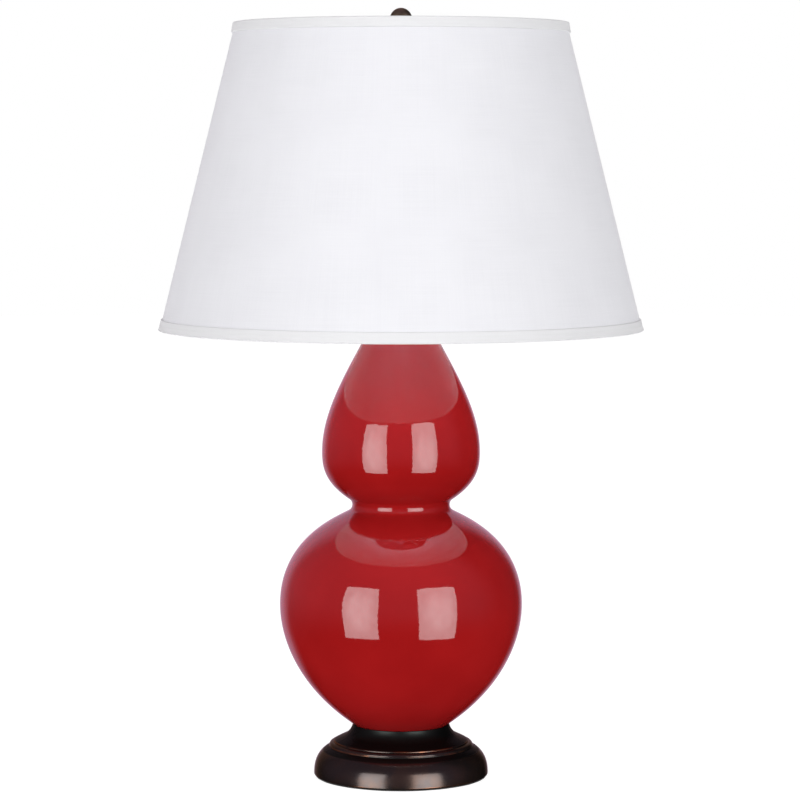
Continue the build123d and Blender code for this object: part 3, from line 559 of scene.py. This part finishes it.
# ---------------------------------------------------------------- forms
class Outline:
    """Half of a turned section, drawn run by run as (radius, height) points in metres."""

    def __init__(self, radius: float, height: float) -> None:
        """Start at a point."""
        self.points: list[Point] = [(radius, height)]

    def line(self, *ends: Point) -> "Outline":
        """Go on in straight runs to each point in turn."""
        self.points.extend(ends)
        return self

    def bezier(self, leave: Point, arrive: Point, end: Point, steps: int = 18) -> "Outline":
        """Go on along one cubic curve.

        Args:
            leave: The handle of the curve's start.
            arrive: The handle of its end.
            end: Its end.
            steps: How many runs stand for it.

        Returns:
            The outline.
        """
        a, b, c, d = (Vector(p) for p in (self.points[-1], leave, arrive, end))
        for i in range(1, steps + 1):
            t = i / steps
            s = 1 - t
            self.points.append(tuple(a * s ** 3 + b * 3 * s * s * t + c * 3 * s * t * t + d * t ** 3))
        return self

    def bow(self, end: Point, rise: float, steps: int = 8) -> "Outline":
        """Go on along an arc.

        Args:
            end: The arc's end.
            rise: How far its middle stands off the straight run, to the left if positive.
            steps: How many runs stand for it.

        Returns:
            The outline.
        """
        a, d = Vector(self.points[-1]), Vector(end)
        run = d - a
        half = run.length / 2
        left = Vector((-run.y, run.x)).normalized()
        radius = (half * half + rise * rise) / (2 * rise)
        centre = (a + d) / 2 + left * (rise - radius)
        start, stop = a - centre, d - centre
        turn = atan2(start.x * stop.y - start.y * stop.x, start.dot(stop))
        for i in range(1, steps + 1):
            angle = turn * i / steps
            self.points.append((centre.x + start.x * cos(angle) - start.y * sin(angle),
                                centre.y + start.x * sin(angle) + start.y * cos(angle)))
        return self


def smooth_faces(mesh: bpy.types.Mesh) -> None:
    """Shade a mesh smooth, apart from its sharp edges."""
    mesh.polygons.foreach_set("use_smooth", [True] * len(mesh.polygons))
    mesh.set_sharp_from_angle(angle=CREASE)


def put(name: str, data: bpy.types.ID) -> bpy.types.Object:
    """Make an object from a mesh, a light or a camera, and link it to the scene."""
    made = bpy.data.objects.new(name, data)
    bpy.context.scene.collection.objects.link(made)
    return made


def new_piece(name: str, work: bmesh.types.BMesh) -> bpy.types.Object:
    """Make an object from a finished bmesh.

    Args:
        name: The piece's name.
        work: The mesh, which is freed.

    Returns:
        The object, linked to the scene.
    """
    bmesh.ops.recalc_face_normals(work, faces=work.faces)
    mesh = bpy.data.meshes.new(name)
    work.to_mesh(mesh)
    work.free()
    smooth_faces(mesh)
    return put(name, mesh)


def even_turn(steps: int) -> list[float]:
    """Evenly spaced angles round the axis."""
    return [tau * i / steps for i in range(steps)]


def lathe(name: str, outline: Sequence[Point], angles: Sequence[float],
          shift: Callable[[float, float, float], Point] | None = None, closed: bool = True) -> bpy.types.Object:
    """Turn a section about the lamp's axis.

    Args:
        name: The turned piece's name.
        outline: The section as (radius, height) points.
        angles: Where round the axis the section is repeated, rising, less than a full turn in all.
        shift: Given an angle, a radius and a height, how far that point moves out and up, or None.
        closed: Whether the section's last point joins its first.

    Returns:
        The piece.
    """
    work = bmesh.new()
    rings = []
    for radius, height in outline:
        if radius < 1e-7:
            rings.append([work.verts.new((0, 0, height))] * len(angles))
            continue
        row = []
        for angle in angles:
            out, up = shift(angle, radius, height) if shift else (0.0, 0.0)
            row.append(work.verts.new(((radius + out) * cos(angle), (radius + out) * sin(angle), height + up)))
        rings.append(row)
    pairs = list(zip(rings, rings[1:] + rings[:1])) if closed else list(zip(rings, rings[1:]))
    for low, high in pairs:
        for i in range(len(angles)):
            j = (i + 1) % len(angles)
            corners = list(dict.fromkeys((low[i], low[j], high[j], high[i])))
            if len(corners) > 2:
                work.faces.new(corners)
    return new_piece(name, work)


def tube(work: bmesh.types.BMesh, path: Sequence[Vector], radius: Callable[[float], float] | float,
         sides: int = 12, looped: bool = False) -> None:
    """Sweep a round section along a path.

    Args:
        work: The mesh that the tube is added to.
        path: The centre line.
        radius: The section's radius, or a function of the share of the way along.
        sides: How many sides the section has.
        looped: Whether the path closes on itself.
    """
    count = len(path)
    side = None
    rings = []
    for i, centre in enumerate(path):
        before = path[i - 1] if i or looped else centre
        after = path[(i + 1) % count] if i < count - 1 or looped else centre
        ahead = (after - before).normalized()
        if side is None:
            side = ahead.orthogonal().normalized()
        side = (side - ahead * side.dot(ahead)).normalized()
        other = ahead.cross(side)
        size = radius(i / max(count - 1, 1)) if callable(radius) else radius
        rings.append([work.verts.new(centre + (side * cos(a) + other * sin(a)) * size) for a in even_turn(sides)])
    for low, high in zip(rings, rings[1:] + rings[:1] if looped else rings[1:]):
        for i in range(sides):
            j = (i + 1) % sides
            work.faces.new((low[i], low[j], high[j], high[i]))
    if not looped:
        work.faces.new(list(reversed(rings[0])))
        work.faces.new(rings[-1])


def carve(piece: bpy.types.Object, cutter: bpy.types.Object) -> None:
    """Cut one form out of another, and drop the cutter.

    Args:
        piece: The object that is cut.
        cutter: The form that is taken away.
    """
    cut = piece.modifiers.new("cut", "BOOLEAN")
    cut.object = cutter
    cut.solver = "EXACT"
    bpy.context.view_layer.update()
    whole = piece.evaluated_get(bpy.context.evaluated_depsgraph_get())
    mesh = bpy.data.meshes.new_from_object(whole)
    piece.modifiers.clear()
    piece.data = mesh
    smooth_faces(mesh)
    bpy.data.objects.remove(cutter)


def dress(piece: bpy.types.Object, finish: Surface) -> bpy.types.Object:
    """Give a piece its finish.

    Args:
        piece: The object.
        finish: Its finish.

    Returns:
        The object.
    """
    piece.data.materials.clear()
    piece.data.materials.append(finish.value.material())
    return piece


def fit(piece: bpy.types.Object, body: str, finish: Surface, *nodes: str) -> bpy.types.Object:
    """Dress a new piece, hang it on its body and let it stand for its nodes.

    Args:
        piece: The new object.
        body: The body that it rides on.
        finish: Its finish.
        nodes: The nodes that it stands for.

    Returns:
        The object.
    """
    dress(piece, finish)
    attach(piece, body)
    if nodes:
        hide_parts(*nodes)
    log.info("%s on %s, %d faces", piece.name, body, len(piece.data.polygons))
    return piece


def dress_nodes(finishes: dict[str, Surface]) -> None:
    """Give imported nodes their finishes.

    Args:
        finishes: The finish of each node.
    """
    for node, finish in finishes.items():
        dress(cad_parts[node], finish)
        log.info("%s in %s", node, finish.value.name)


# ---------------------------------------------------------------- studio
@dataclass(frozen=True)
class Softbox:
    """One of the two tall softboxes in front of the lamp, as the glaze reflects them."""

    name: str
    azimuth: float
    half_width: float
    fill: float
    low: float = radians(-28.5)
    high: float = radians(26.5)
    turned_in: float = 0.75
    gloss_distance: float = 5.0
    fill_distance: float = 5.25
    aim_height: float = 0.25
    gloss: float = 5.2

    def lamp(self, name: str, radiance: float, distance: float) -> bpy.types.Object:
        """Hang one area light.

        Args:
            name: The light's name.
            radiance: How bright its face is.
            distance: How far it hangs from the lamp's axis. Its size follows, so it looks the same.

        Returns:
            The light.
        """
        rise = (tan(self.high) + tan(self.low)) / 2 * distance
        light = bpy.data.lights.new(name, "AREA")
        light.shape = "RECTANGLE"
        light.size = 2 * distance * tan(self.half_width)
        light.size_y = distance * (tan(self.high) - tan(self.low))
        light.energy = radiance * pi * light.size * light.size_y
        made = put(name, light)
        place = Vector((sin(self.azimuth), -cos(self.azimuth), 0)) * distance
        facing = self.azimuth * self.turned_in
        made.location = place + Vector((0, 0, self.aim_height + rise))
        made.rotation_euler = Vector((-sin(facing), cos(facing), 0)).to_track_quat("-Z", "Y").to_euler()
        return made

    def cloud(self, light: bpy.types.Light) -> None:
        """Brighten the face's middle, make it uneven as cloth is, and show it in first reflections only."""
        light.use_nodes = True
        graph = Graph(light.node_tree)
        face = graph.add("ShaderNodeNewGeometry").outputs["Parametric"]
        across, up, _ = graph.split(face)
        off = (across - 0.5) * (across - 0.5) + (up - 0.5) * (up - 0.5)
        patches = graph.noise(0.22, 3.0, 0.6, face)
        glow = 0.86 + off.rise(0.22, 0.0) * 0.3 + (patches - 0.5) * 0.5
        first = Num(graph, graph.add("ShaderNodeLightPath").outputs["Glossy Depth"]).rise(1.6, 1.4)
        glow = glow * first
        lit = graph.add("ShaderNodeEmission", None, {"Strength": glow}).outputs[0]
        graph.add("ShaderNodeOutputLight", None, {"Surface": lit})

    def build(self) -> None:
        """Hang the box twice: once for its reflections, once, a little behind, for its light."""
        gloss = self.lamp(f"softbox_{self.name}_gloss", self.gloss, self.gloss_distance)
        gloss.visible_diffuse = False
        self.cloud(gloss.data)
        self.lamp(f"softbox_{self.name}_fill", self.fill, self.fill_distance).visible_glossy = False


@dataclass(frozen=True)
class Studio:
    """A white sweep, two softboxes and the camera."""

    lens: float = 142.375
    sensor: float = 36.0
    eye: tuple[float, float, float] = (-0.001, -3.2317, 0.6461)
    look_down: float = radians(4.563)
    floor_radius: float = 9.0
    floor_sides: int = 96
    floor_glow: float = 0.9
    card_left: float = radians(51)
    card_right: float = radians(34)
    card_fade: float = radians(24)
    card_glow: float = 0.44
    room_glow: float = 0.2
    fill_front: Point = (0.66, 0.32)
    fill_back: Point = (0.33, 1.6)
    shade_glow: float = 1.95
    gloss_tint: Colour = (1.1, 0.72, 0.98, 1.0)

    def build_camera(self) -> None:
        """Stand the camera where the photograph was taken from."""
        camera = bpy.data.cameras.new("camera")
        camera.lens = self.lens
        camera.sensor_width = self.sensor
        made = put("camera", camera)
        made.location = self.eye
        made.rotation_euler = (pi / 2 - self.look_down, 0, 0)
        bpy.context.scene.camera = made

    def build_floor(self) -> None:
        """Lay the pale floor, which mirrors and darkens nothing."""
        work = bmesh.new()
        bmesh.ops.create_circle(work, cap_ends=True, segments=self.floor_sides, radius=self.floor_radius)
        floor = new_piece("floor", work)
        floor.visible_glossy = False
        floor.visible_shadow = False
        floor.visible_diffuse = False
        material = bpy.data.materials.new("pale_floor")
        material.use_nodes = True
        graph = Graph(material.node_tree)
        white = graph.add("ShaderNodeBsdfDiffuse", None, {"Color": (0.3, 0.3, 0.3, 1.0)}).outputs[0]
        glow = graph.add("ShaderNodeEmission", None, {"Strength": self.floor_glow}).outputs[0]
        both = graph.add("ShaderNodeAddShader", None, {0: white, 1: glow}).outputs[0]
        graph.add("ShaderNodeOutputMaterial", None, {"Surface": both})
        floor.data.materials.append(material)

    def build_world(self) -> None:
        """Light the room: white to the eye, dim and tinted to the gloss but for a card behind, soft to cloth."""
        world = bpy.data.worlds.new("studio")
        world.use_nodes = True
        bpy.context.scene.world = world
        graph = Graph(world.node_tree)
        path = graph.add("ShaderNodeLightPath")
        seen = Num(graph, path.outputs["Is Camera Ray"])
        diffuse = Num(graph, path.outputs["Is Diffuse Ray"])
        x, y, z = graph.split(graph.add("ShaderNodeTexCoord").outputs["Generated"])
        across = x.angle(y)
        left, right = across + self.card_left, self.card_right - across
        card = left.rise(0.0, self.card_fade) * right.rise(0.0, self.card_fade)
        dim = across.rise(0.35, 0.7) * across.rise(1.9, 1.2) * 0.85
        room = self.room_glow * z.rise(-0.45, 0.1) * (1 - dim)
        room = room + card * z.rise(-0.5, -0.3) * self.card_glow
        low, front = z.rise(0.1, -0.5), y.rise(0.5, -0.5)
        ahead = self.fill_front[0] + low * (self.fill_front[1] - self.fill_front[0])
        behind = self.fill_back[0] + low * (self.fill_back[1] - self.fill_back[0])
        fill = behind + front * (ahead - behind)
        unseen = room + diffuse * (fill - room)
        glow = seen + (1 - seen) * unseen
        tint = graph.mix(seen.larger(diffuse), self.gloss_tint, (1.0, 1.0, 1.0, 1.0))
        sky = graph.add("ShaderNodeBackground", None, {"Color": tint, "Strength": glow}).outputs[0]
        graph.add("ShaderNodeOutputWorld", None, {"Surface": sky})

    def build_shade_glow(self) -> None:
        """Hang a soft light over the bulb, which brightens the shade from inside and spares the bulb."""
        _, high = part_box("bulb_globe")
        light = bpy.data.lights.new("inside_shade", "POINT")
        light.energy = self.shade_glow
        light.color = (0.92, 0.84, 1.0)
        light.shadow_soft_size = 50 * MM
        made = put("inside_shade", light)
        made.location = (0, 0, high.z + 52 * MM)
        made.visible_glossy = False
        made.visible_camera = False
        spared = bpy.data.collections.new("spared_by_inside_shade")
        spared.objects.link(bpy.data.objects["bulb_globe"])
        spared.collection_objects[0].light_linking.link_state = "EXCLUDE"
        made.light_linking.receiver_collection = spared

    def build(self) -> None:
        """Set the whole studio up."""
        bpy.context.scene.view_settings.view_transform = "Standard"
        self.build_camera()
        self.build_floor()
        self.build_world()
        self.build_shade_glow()
        Softbox("left", radians(-39.9), radians(17.9), 2.25).build()
        Softbox("right", radians(36.3), radians(19.4), 2.05).build()
        log.info("studio ready")


# ---------------------------------------------------------------- the lamp
@dataclass
class Foot:
    """The bronze foot with its felt, its board, its inlet and what clamps it to the rod."""

    felt_edge: float = 0.45 * MM
    felt_wave: float = 0.12 * MM
    turns: int = 180
    radius: float = 89.8
    underside: float = 1.5
    dome_top: Point = (74.4, 30.6)
    dome_lean: float = radians(28)
    dome_pull: float = 13.0
    side_pull: float = 12.7
    ledge: Point = (70.2, 35.1)
    roll: Point = (69.4, 36.3)
    cove: Point = (58.4, 41.7)
    lip: Point = (49.8, 53.6)
    wall: float = 4.5
    rebate: tuple[float, float, float] = (82.7, 85.3, 4.5)
    seat_top: float = 48.5
    seat_under: float = 44.5
    cup: Point = (43.577, 50.0)
    cup_lean: float = radians(57.2)
    rod_hole: float = 5.25
    inlet_height: float = 11.0
    inlet_hole: float = 5.1
    inlet_pocket: Point = (7.4, 87.4)
    drill_run: Point = (70, 30.0)
    casting_turns: int = 288
    drill_turns: int = 48
    rim_edge: float = 1.2
    inlet_cover: float = 6.6

    def build_felt(self) -> None:
        """Cut the felt disc: soft edges, and a face that isn't quite flat."""
        low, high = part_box("felt_pad")
        radius, top, edge = high.x, high.z, self.felt_edge

        def soft(angle: float, at: float, height: float) -> Point:
            """Let the edge wander and the underside rise a little."""
            share = at / radius
            wander = sin(angle * 7) * 0.3 + sin(angle * 17 + 1) * 0.25 + sin(angle * 29 + 2) * 0.2
            lift = 0.0 if height > top / 2 else self.felt_wave * (0.5 + 0.5 * sin(angle * 5 + share * 9))
            return (wander * edge * share ** 8, lift * (1 if 0.02 < share < 0.9 else 0))

        section = Outline(0.0, low.z).line(*((radius * i / 12, low.z) for i in range(1, 12)), (radius - edge, low.z))
        section.bow((radius, low.z + edge), -edge * 0.29, 4).line((radius, top - edge))
        section.bow((radius - edge, top), -edge * 0.29, 4).line((radius / 2, top), (0.0, top))
        disc = lathe("felt_disc", section.points, even_turn(self.turns), soft, closed=False)
        felt = fit(disc, "base", Surface.FELT, "felt_pad")

    def casting_section(self) -> list[Point]:
        """Draw the casting's section in millimetres, its edges softened as the founder left them.

        Returns:
            The closed section, in metres.
        """
        dome, ledge, roll, cove, lip = self.dome_top, self.ledge, self.roll, self.cove, self.lip
        step, inside, rebate = self.rebate
        section = Outline(self.radius - self.rim_edge, self.underside)
        section.bow((self.radius, self.underside + self.rim_edge), -0.35, 5)
        section.bezier((self.radius, self.underside + self.rim_edge + self.side_pull),
                       (dome[0] + self.dome_pull * cos(self.dome_lean), dome[1] - self.dome_pull * sin(self.dome_lean)),
                       (dome[0] + 0.35, dome[1] - 0.1), 26)
        section.bow((dome[0] + 0.05, dome[1] + 0.3), 0.08, 3).line((dome[0], dome[1] + 0.8))
        section.bow((dome[0] - 0.35, dome[1] + 1.35), -0.1, 4)
        section.bow((ledge[0] + 0.3, ledge[1] - 0.12), -0.85, 10)
        section.line((roll[0] + 0.25, ledge[1]))
        section.bow((roll[0], ledge[1] + 0.25), 0.07, 3).line((roll[0], roll[1] - 0.55))
        section.bow((roll[0] - 0.55, roll[1] + 0.12), -0.16, 5)
        section.bezier((roll[0] - 2.8, roll[1] + 1.55), (cove[0] + 3.6, cove[1] - 1.9), cove, 12)
        section.bezier((cove[0] - 3.3, cove[1] + 1.8), (lip[0] + 1.7, lip[1] - 6.9), (lip[0], lip[1] - 0.5), 18)
        section.bow((lip[0] - 0.35, lip[1]), -0.1, 3)
        cup_top = self.cup[0] + (lip[1] - self.cup[1]) * tan(self.cup_lean)
        section.line((cup_top, lip[1]), self.cup, (self.cup[0], self.seat_top), (self.rod_hole, self.seat_top),
                     (self.rod_hole, self.seat_under), (lip[0] - 5.0, self.seat_under))
        section.bow((ledge[0] - 1.5 * self.wall, dome[1] + 1.1), -0.8, 8)
        shelf = (dome[0] - 1.35 * self.wall, dome[1] - 0.55 * self.wall)
        section.line(shelf)
        section.bezier((shelf[0] + self.dome_pull / 2, shelf[1] - self.dome_pull / 4),
                       (step, self.inlet_height + self.inlet_cover + self.side_pull / 4),
                       (step, self.inlet_height + self.inlet_cover), 12)
        section.line((step, rebate), (inside, rebate), (inside, self.underside))
        return [(out * MM, up * MM) for out, up in section.points]

    def build_casting(self) -> None:
        """Turn the casting and bore its back for the cord's bushing."""
        casting = lathe("foot_casting", self.casting_section(), even_turn(self.casting_turns))
        pocket_radius, pocket_floor = self.inlet_pocket
        start, reach = self.drill_run
        drill = Outline(0.0, 0.0).line((self.inlet_hole, 0.0), (self.inlet_hole, pocket_floor - start),
                                       (pocket_radius, pocket_floor - start), (pocket_radius, reach), (0.0, reach))
        cutter = lathe("inlet_drill", [(out * MM, up * MM) for out, up in drill.points],
                       even_turn(self.drill_turns), closed=False)
        back = Matrix.Translation((0, start * MM, self.inlet_height * MM))
        cutter.matrix_world = back @ Matrix.Rotation(-pi / 2, 4, "X")
        carve(casting, cutter)
        fit(casting, "base", Surface.FOOT, "base_foot")

    def build(self) -> None:
        """Turn the casting, lay the felt and dress the rest."""
        self.build_felt()
        self.build_casting()
        dress_nodes({
            "base_board": Surface.FIBREBOARD, "cord_bushing": Surface.PHENOLIC,
            "bottom_washer": Surface.ZINC, "lock_washer": Surface.ZINC, "bottom_nut": Surface.ZINC,
        })


@dataclass
class Gourd:
    """The glazed body between its gaskets, and the cap and spool above it."""

    def build(self) -> None:
        """Dress the body and what stands on it."""
        dress_nodes({
            "ceramic_body": Surface.GLAZE, "base_gasket": Surface.RUBBER, "neck_gasket": Surface.RUBBER,
            "vase_cap": Surface.FOOT, "neck_spacer": Surface.FITTING, "lamp_rod": Surface.ROD_THREAD,
            "top_nut": Surface.ZINC,
        })


@dataclass
class Socket:
    """The socket with its switch and the bulb in it, the shell and the bulb's cap rolled with one pitch.

    The thread is known to be too deep: the walls and the glass neck leave room for about 0.35 mm, so
    at this depth the cap cuts into the glass and crosses the shell.
    """

    pitch: float = 3.63 * MM
    depth: float = 0.95 * MM
    plain_low: float = 4.2 * MM
    plain_high: float = 2.6 * MM
    cap_plain: float = 1.2 * MM
    wall: float = 0.5 * MM
    turns: int = 72
    rows: int = 60

    def rolled(self, low: float, high: float) -> Callable[[float, float, float], Point]:
        """Make the thread's shift for a wall between two heights.

        Args:
            low, high: Where the threaded run starts and ends.

        Returns:
            The shift, which draws the wall inward along the groove.
        """
        def shift(angle: float, radius: float, height: float) -> Point:
            """Follow the groove, fading it out at both ends."""
            fade = min(1.0, max(0.0, min(height - low, high - height) / (1.5 * MM)))
            wave = 0.5 - 0.5 * cos(tau * height / self.pitch - angle)
            return (-self.depth * wave * fade, 0.0)

        return shift

    def build_bulb_cap(self) -> None:
        """Roll the bulb's screw cap."""
        low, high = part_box("bulb_cap")
        radius, slope = high.x, low.z + 3.5 * MM
        ups = [slope + (high.z - slope) * i / self.rows for i in range(self.rows + 1)]
        section = Outline(7.5 * MM, low.z).line((9 * MM, low.z)).line(*((radius, up) for up in ups))
        section.line(*((radius - self.wall, up) for up in reversed(ups)))
        section.line((8.6 * MM, low.z + self.wall), (7.5 * MM, low.z + self.wall))
        thread = self.rolled(slope, high.z - self.cap_plain)
        cap = lathe("bulb_cap_rolled", section.points, even_turn(self.turns), thread)
        fit(cap, "bulb", Surface.BULB_METAL, "bulb_cap")

    def build_screw_shell(self) -> None:
        """Roll the shell that takes the bulb."""
        low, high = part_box("screw_shell")
        radius, wall = high.x - 0.5 * MM, 0.4 * MM
        ups = [low.z + wall + (high.z - MM - low.z - wall) * i / self.rows for i in range(self.rows + 1)]
        section = Outline(radius - wall - 4 * MM, low.z).line((radius, low.z)).line(*((radius, up) for up in ups))
        section.line((radius + 0.5 * MM, high.z), (radius - wall + 0.5 * MM, high.z))
        section.line(*((radius - wall, up) for up in reversed(ups)), (radius - wall - 4 * MM, low.z + wall))
        thread = self.rolled(low.z + self.plain_low, high.z - self.plain_high)
        shell = lathe("screw_shell_rolled", section.points, even_turn(self.turns), thread)
        fit(shell, "base", Surface.BRASS, "screw_shell")

    def build(self) -> None:
        """Roll the threads and dress the socket, the key and the bulb."""
        self.build_bulb_cap()
        self.build_screw_shell()
        dress_nodes({
            "socket_cap": Surface.FITTING, "socket_set_screw": Surface.ZINC, "socket_shell": Surface.FITTING,
            "insulating_sleeve": Surface.CARD, "switch_block": Surface.PHENOLIC,
            "terminal_screws": Surface.BRASS, "center_contact": Surface.BRASS,
            "switch_shaft": Surface.BRASS, "switch_key": Surface.KEY, "bulb_globe": Surface.GLASS,
            "bulb_insulator": Surface.VITRITE, "bulb_button": Surface.SOLDER,
        })


@dataclass
class Harp:
    """The wire bow with its saddle, its two sleeves and its stud."""

    def build(self) -> None:
        """Dress the bow and its fittings."""
        dress_nodes({
            "harp_saddle": Surface.FITTING, "harp_wire": Surface.FITTING, "ferrule_left": Surface.FITTING,
            "ferrule_right": Surface.FITTING, "harp_stud": Surface.STUD_THREAD, "finial": Surface.FITTING,
        })


@dataclass
class Shade:
    """The shade: cloth stretched over a styrene cone, folded tape at both edges, wire frame inside."""

    bottom_radius: float = 246.2 * MM
    top_radius: float = 168.1 * MM
    bottom: float = 460.6 * MM
    top: float = 772.5 * MM
    cloth: float = 0.8 * MM
    lap: float = 12 * MM
    lap_rise: float = 0.5 * MM
    turns: int = 240
    rows: int = 40
    hem: float = 7.1 * MM
    tape: float = 1.6 * MM
    lining: float = 0.8 * MM
    top_width: float = 10.4 * MM
    bottom_width: float = 11.3 * MM
    top_flare: float = 1.1 * MM
    seam: float = pi / 2
    arms: int = 3
    arm_wire: float = 1.5 * MM
    bead: float = 0.55 * MM

    @property
    def flare(self) -> float:
        """How much the shade widens for each unit of height."""
        return (self.bottom_radius - self.top_radius) / (self.top - self.bottom)

    def radius(self, height: float, depth: float = 0.0) -> float:
        """The wall's radius at a height, at a depth square to the cloth."""
        return self.bottom_radius - self.flare * (height - self.bottom) - depth * sqrt(1 + self.flare ** 2)

    def angles(self) -> list[float]:
        """Angles round the shade, close together at the seam.

        Returns:
            The angles, rising, in radians.
        """
        half = self.lap / self.radius((self.bottom + self.top) / 2)
        close = [self.seam + half * k / 8 for k in range(-12, 13)]
        return sorted([a for a in even_turn(self.turns) if abs(a - self.seam) > half * 1.6] + close)

    def over_lap(self, angle: float, radius: float, width: float, height: float) -> float:
        """How far a layer stands out where its end laps over its start.

        Args:
            angle: Where round the shade.
            radius: The shade's radius there.
            width: The lap's width.
            height: What the lap adds.

        Returns:
            The step, sharp at the lap's edge and easing away from it.
        """
        along = (angle - self.seam) * radius
        if along < -width / 2 or along > width:
            return 0.0
        edge = min(1.0, (along + width / 2) / (0.5 * MM))
        ease = 1.0 if along < width / 2 else 1 - (along - width / 2) / (width / 2)
        return height * edge * ease

    def build_cloth(self) -> None:
        """Stretch the cloth, cut as one flat sector and lapped up the back."""
        low, high = self.bottom + self.lining, self.top - self.lining
        heights = [low + (high - low) * i / self.rows for i in range(self.rows + 1)]
        outer = [(self.radius(z), z) for z in heights]
        inner = [(self.radius(z, self.cloth), z) for z in (high, low)]

        def lapped(angle: float, radius: float, height: float) -> Point:
            """Raise the lap, on the outside only."""
            outside = radius > self.radius(height, self.cloth / 2)
            return (self.over_lap(angle, radius, self.lap, self.lap_rise) if outside else 0.0, 0.0)

        cone = lathe("shade_cloth", outer + inner, self.angles(), lapped)
        cloth = fit(cone, "shade", Surface.LINEN, "shade_fabric")
        slant = sqrt(1 + self.flare ** 2) / self.flare
        long_edge, short_edge = self.bottom_radius * slant, self.top_radius * slant
        half_turn = pi / slant
        flat = (2 * long_edge * sin(half_turn), long_edge - short_edge * cos(half_turn))
        area = half_turn * (long_edge ** 2 - short_edge ** 2)
        log.info("cloth cut from %.3f by %.3f m, %.3f square metres", *flat, area)

    def tape_section(self, edge: float, inward: int, width: float, flare: float, ring: float, hem: float) -> Outline:
        """Draw one tape's section: the outer face, the fold over the wire, and the inner leg.

        Args:
            edge: The shade's edge, a height.
            inward: +1 where the shade lies above the edge, -1 where it lies below.
            width: How far the outer face reaches.
            flare: How much further the fold stands out than the tape's other edge.
            ring: The inner radius that the leg lies against.
            hem: How far the leg reaches.

        Returns:
            The section.
        """
        end = edge + inward * width
        cover = edge + inward * self.lining
        leg = edge + inward * hem
        leg_in = ring - self.lining
        out_end = self.radius(end) + self.tape
        out_edge = self.radius(edge) + self.tape + flare
        soft = self.tape * 0.45
        turn = inward * soft * 0.3
        section = Outline(self.radius(end), end)
        section.line((out_end - soft, end))
        section.bow((out_end + 0.1 * MM, end - inward * soft), turn, 4)
        for share in (0.3, 0.34, 0.38, 0.66, 0.7, 0.74, 0.9):
            crease = -0.07 * MM if share in (0.34, 0.7) else 0.0
            section.line((out_end + (out_edge - out_end) * share + crease, end + (edge - end) * share))
        fold = self.tape * 0.8
        section.line((out_edge, edge + inward * fold))
        section.bow((out_edge - fold, edge), inward * fold * 0.29, 5)
        section.line((leg_in + self.lining, edge))
        section.bow((leg_in, edge + inward * self.lining), inward * self.lining * 0.29, 5)
        section.line((leg_in, leg), (leg_in + self.lining, leg), (leg_in + self.lining, cover))
        section.line((self.radius(cover), cover))
        return section

    def build_tape(self, name: str, edge: float, inward: int, width: float, flare: float) -> None:
        """Fold one tape over an edge.

        Args:
            name: The node that the tape stands for.
            edge: The shade's edge, a height.
            inward: +1 where the shade lies above the edge, -1 where it lies below.
            width: How far the outer face reaches.
            flare: How much further the fold stands out than the tape's other edge.
        """
        low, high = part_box(name)
        wire_low, wire_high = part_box("bottom_ring" if inward > 0 else "top_ring")
        thick = wire_high.z - wire_low.z
        ring = wire_high.x - thick
        section = self.tape_section(edge, inward, width, flare, ring, min(high.z - low.z, self.hem)).points

        def worked(angle: float, radius: float, height: float) -> Point:
            """Let the tape wander a little, and lap its ends at the back."""
            wander = 0.05 * MM * (sin(angle * 9) + sin(angle * 23 + 1.3)) * 0.5
            outside = radius > self.radius(height) + self.tape * 0.4
            lap = self.over_lap(angle, radius, self.lap * 1.2, self.tape * 0.5) if outside else 0.0
            return (lap + (wander if outside else 0.0), wander * 0.6 if outside else 0.0)

        tape = fit(lathe(f"{name}_tape", section, self.angles(), worked), "shade", Surface.TAPE, name)
        around = sum(hypot(b[0] - a[0], b[1] - a[1]) for a, b in zip(section, section[1:] + section[:1]))
        length = tau * self.radius(edge)
        log.info("%s cut %.1f mm wide, %.3f m long", name, around / 2 / MM, length)

    def build_welds(self) -> None:
        """Lay a weld bead round the outer end of each of the spider's arms, and over the inner end."""
        ring_low, ring_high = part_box("top_ring")
        washer_low, washer_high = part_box("spider_washer")
        wire = (ring_high.z - ring_low.z) / 2
        over = [pi * (0.12 + 0.76 * i / 12) for i in range(13)]
        ends = ((ring_high.x - 2 * wire - 0.1 * MM, (ring_low.z + ring_high.z) / 2, even_turn(20)),
                (washer_high.x + 0.1 * MM, (washer_low.z + washer_high.z) / 2, over))
        work = bmesh.new()
        for arm in range(self.arms):
            turn = Matrix.Rotation(pi / 2 + tau * arm / self.arms, 4, "Z")
            for out, up, angles in ends:
                def lumpy(share: float, phase: float = arm + out) -> float:
                    """The bead's radius, which swells and thins along it."""
                    return self.bead * (1 + 0.22 * sin(share * tau * 3 + phase * 40))

                loop = [turn @ Vector((out, self.arm_wire * cos(a), up + self.arm_wire * sin(a))) for a in angles]
                tube(work, loop, lumpy, 10, looped=angles is not over)
        fit(new_piece("spider_welds", work), "shade", Surface.PAINTED_WIRE)

    def build(self) -> None:
        """Build the shade's cloth, tapes and welds, and dress its frame."""
        self.build_cloth()
        self.build_welds()
        self.build_tape("bottom_trim", self.bottom, 1, self.bottom_width, 0.0)
        self.build_tape("top_trim", self.top, -1, self.top_width, self.top_flare)
        dress_nodes({
            "shade_liner": Surface.STYRENE, "spider_arms": Surface.PAINTED_WIRE,
            "spider_washer": Surface.PAINTED_WIRE, "top_ring": Surface.PAINTED_WIRE,
            "bottom_ring": Surface.PAINTED_WIRE,
        })


def main() -> None:
    """Build the studio and the lamp."""
    logging.basicConfig(level=logging.INFO, format="%(name)s: %(message)s")
    Studio().build()
    for part in (Foot(), Gourd(), Socket(), Harp(), Shade()):
        part.build()


if __name__ == "__main__":
    main()
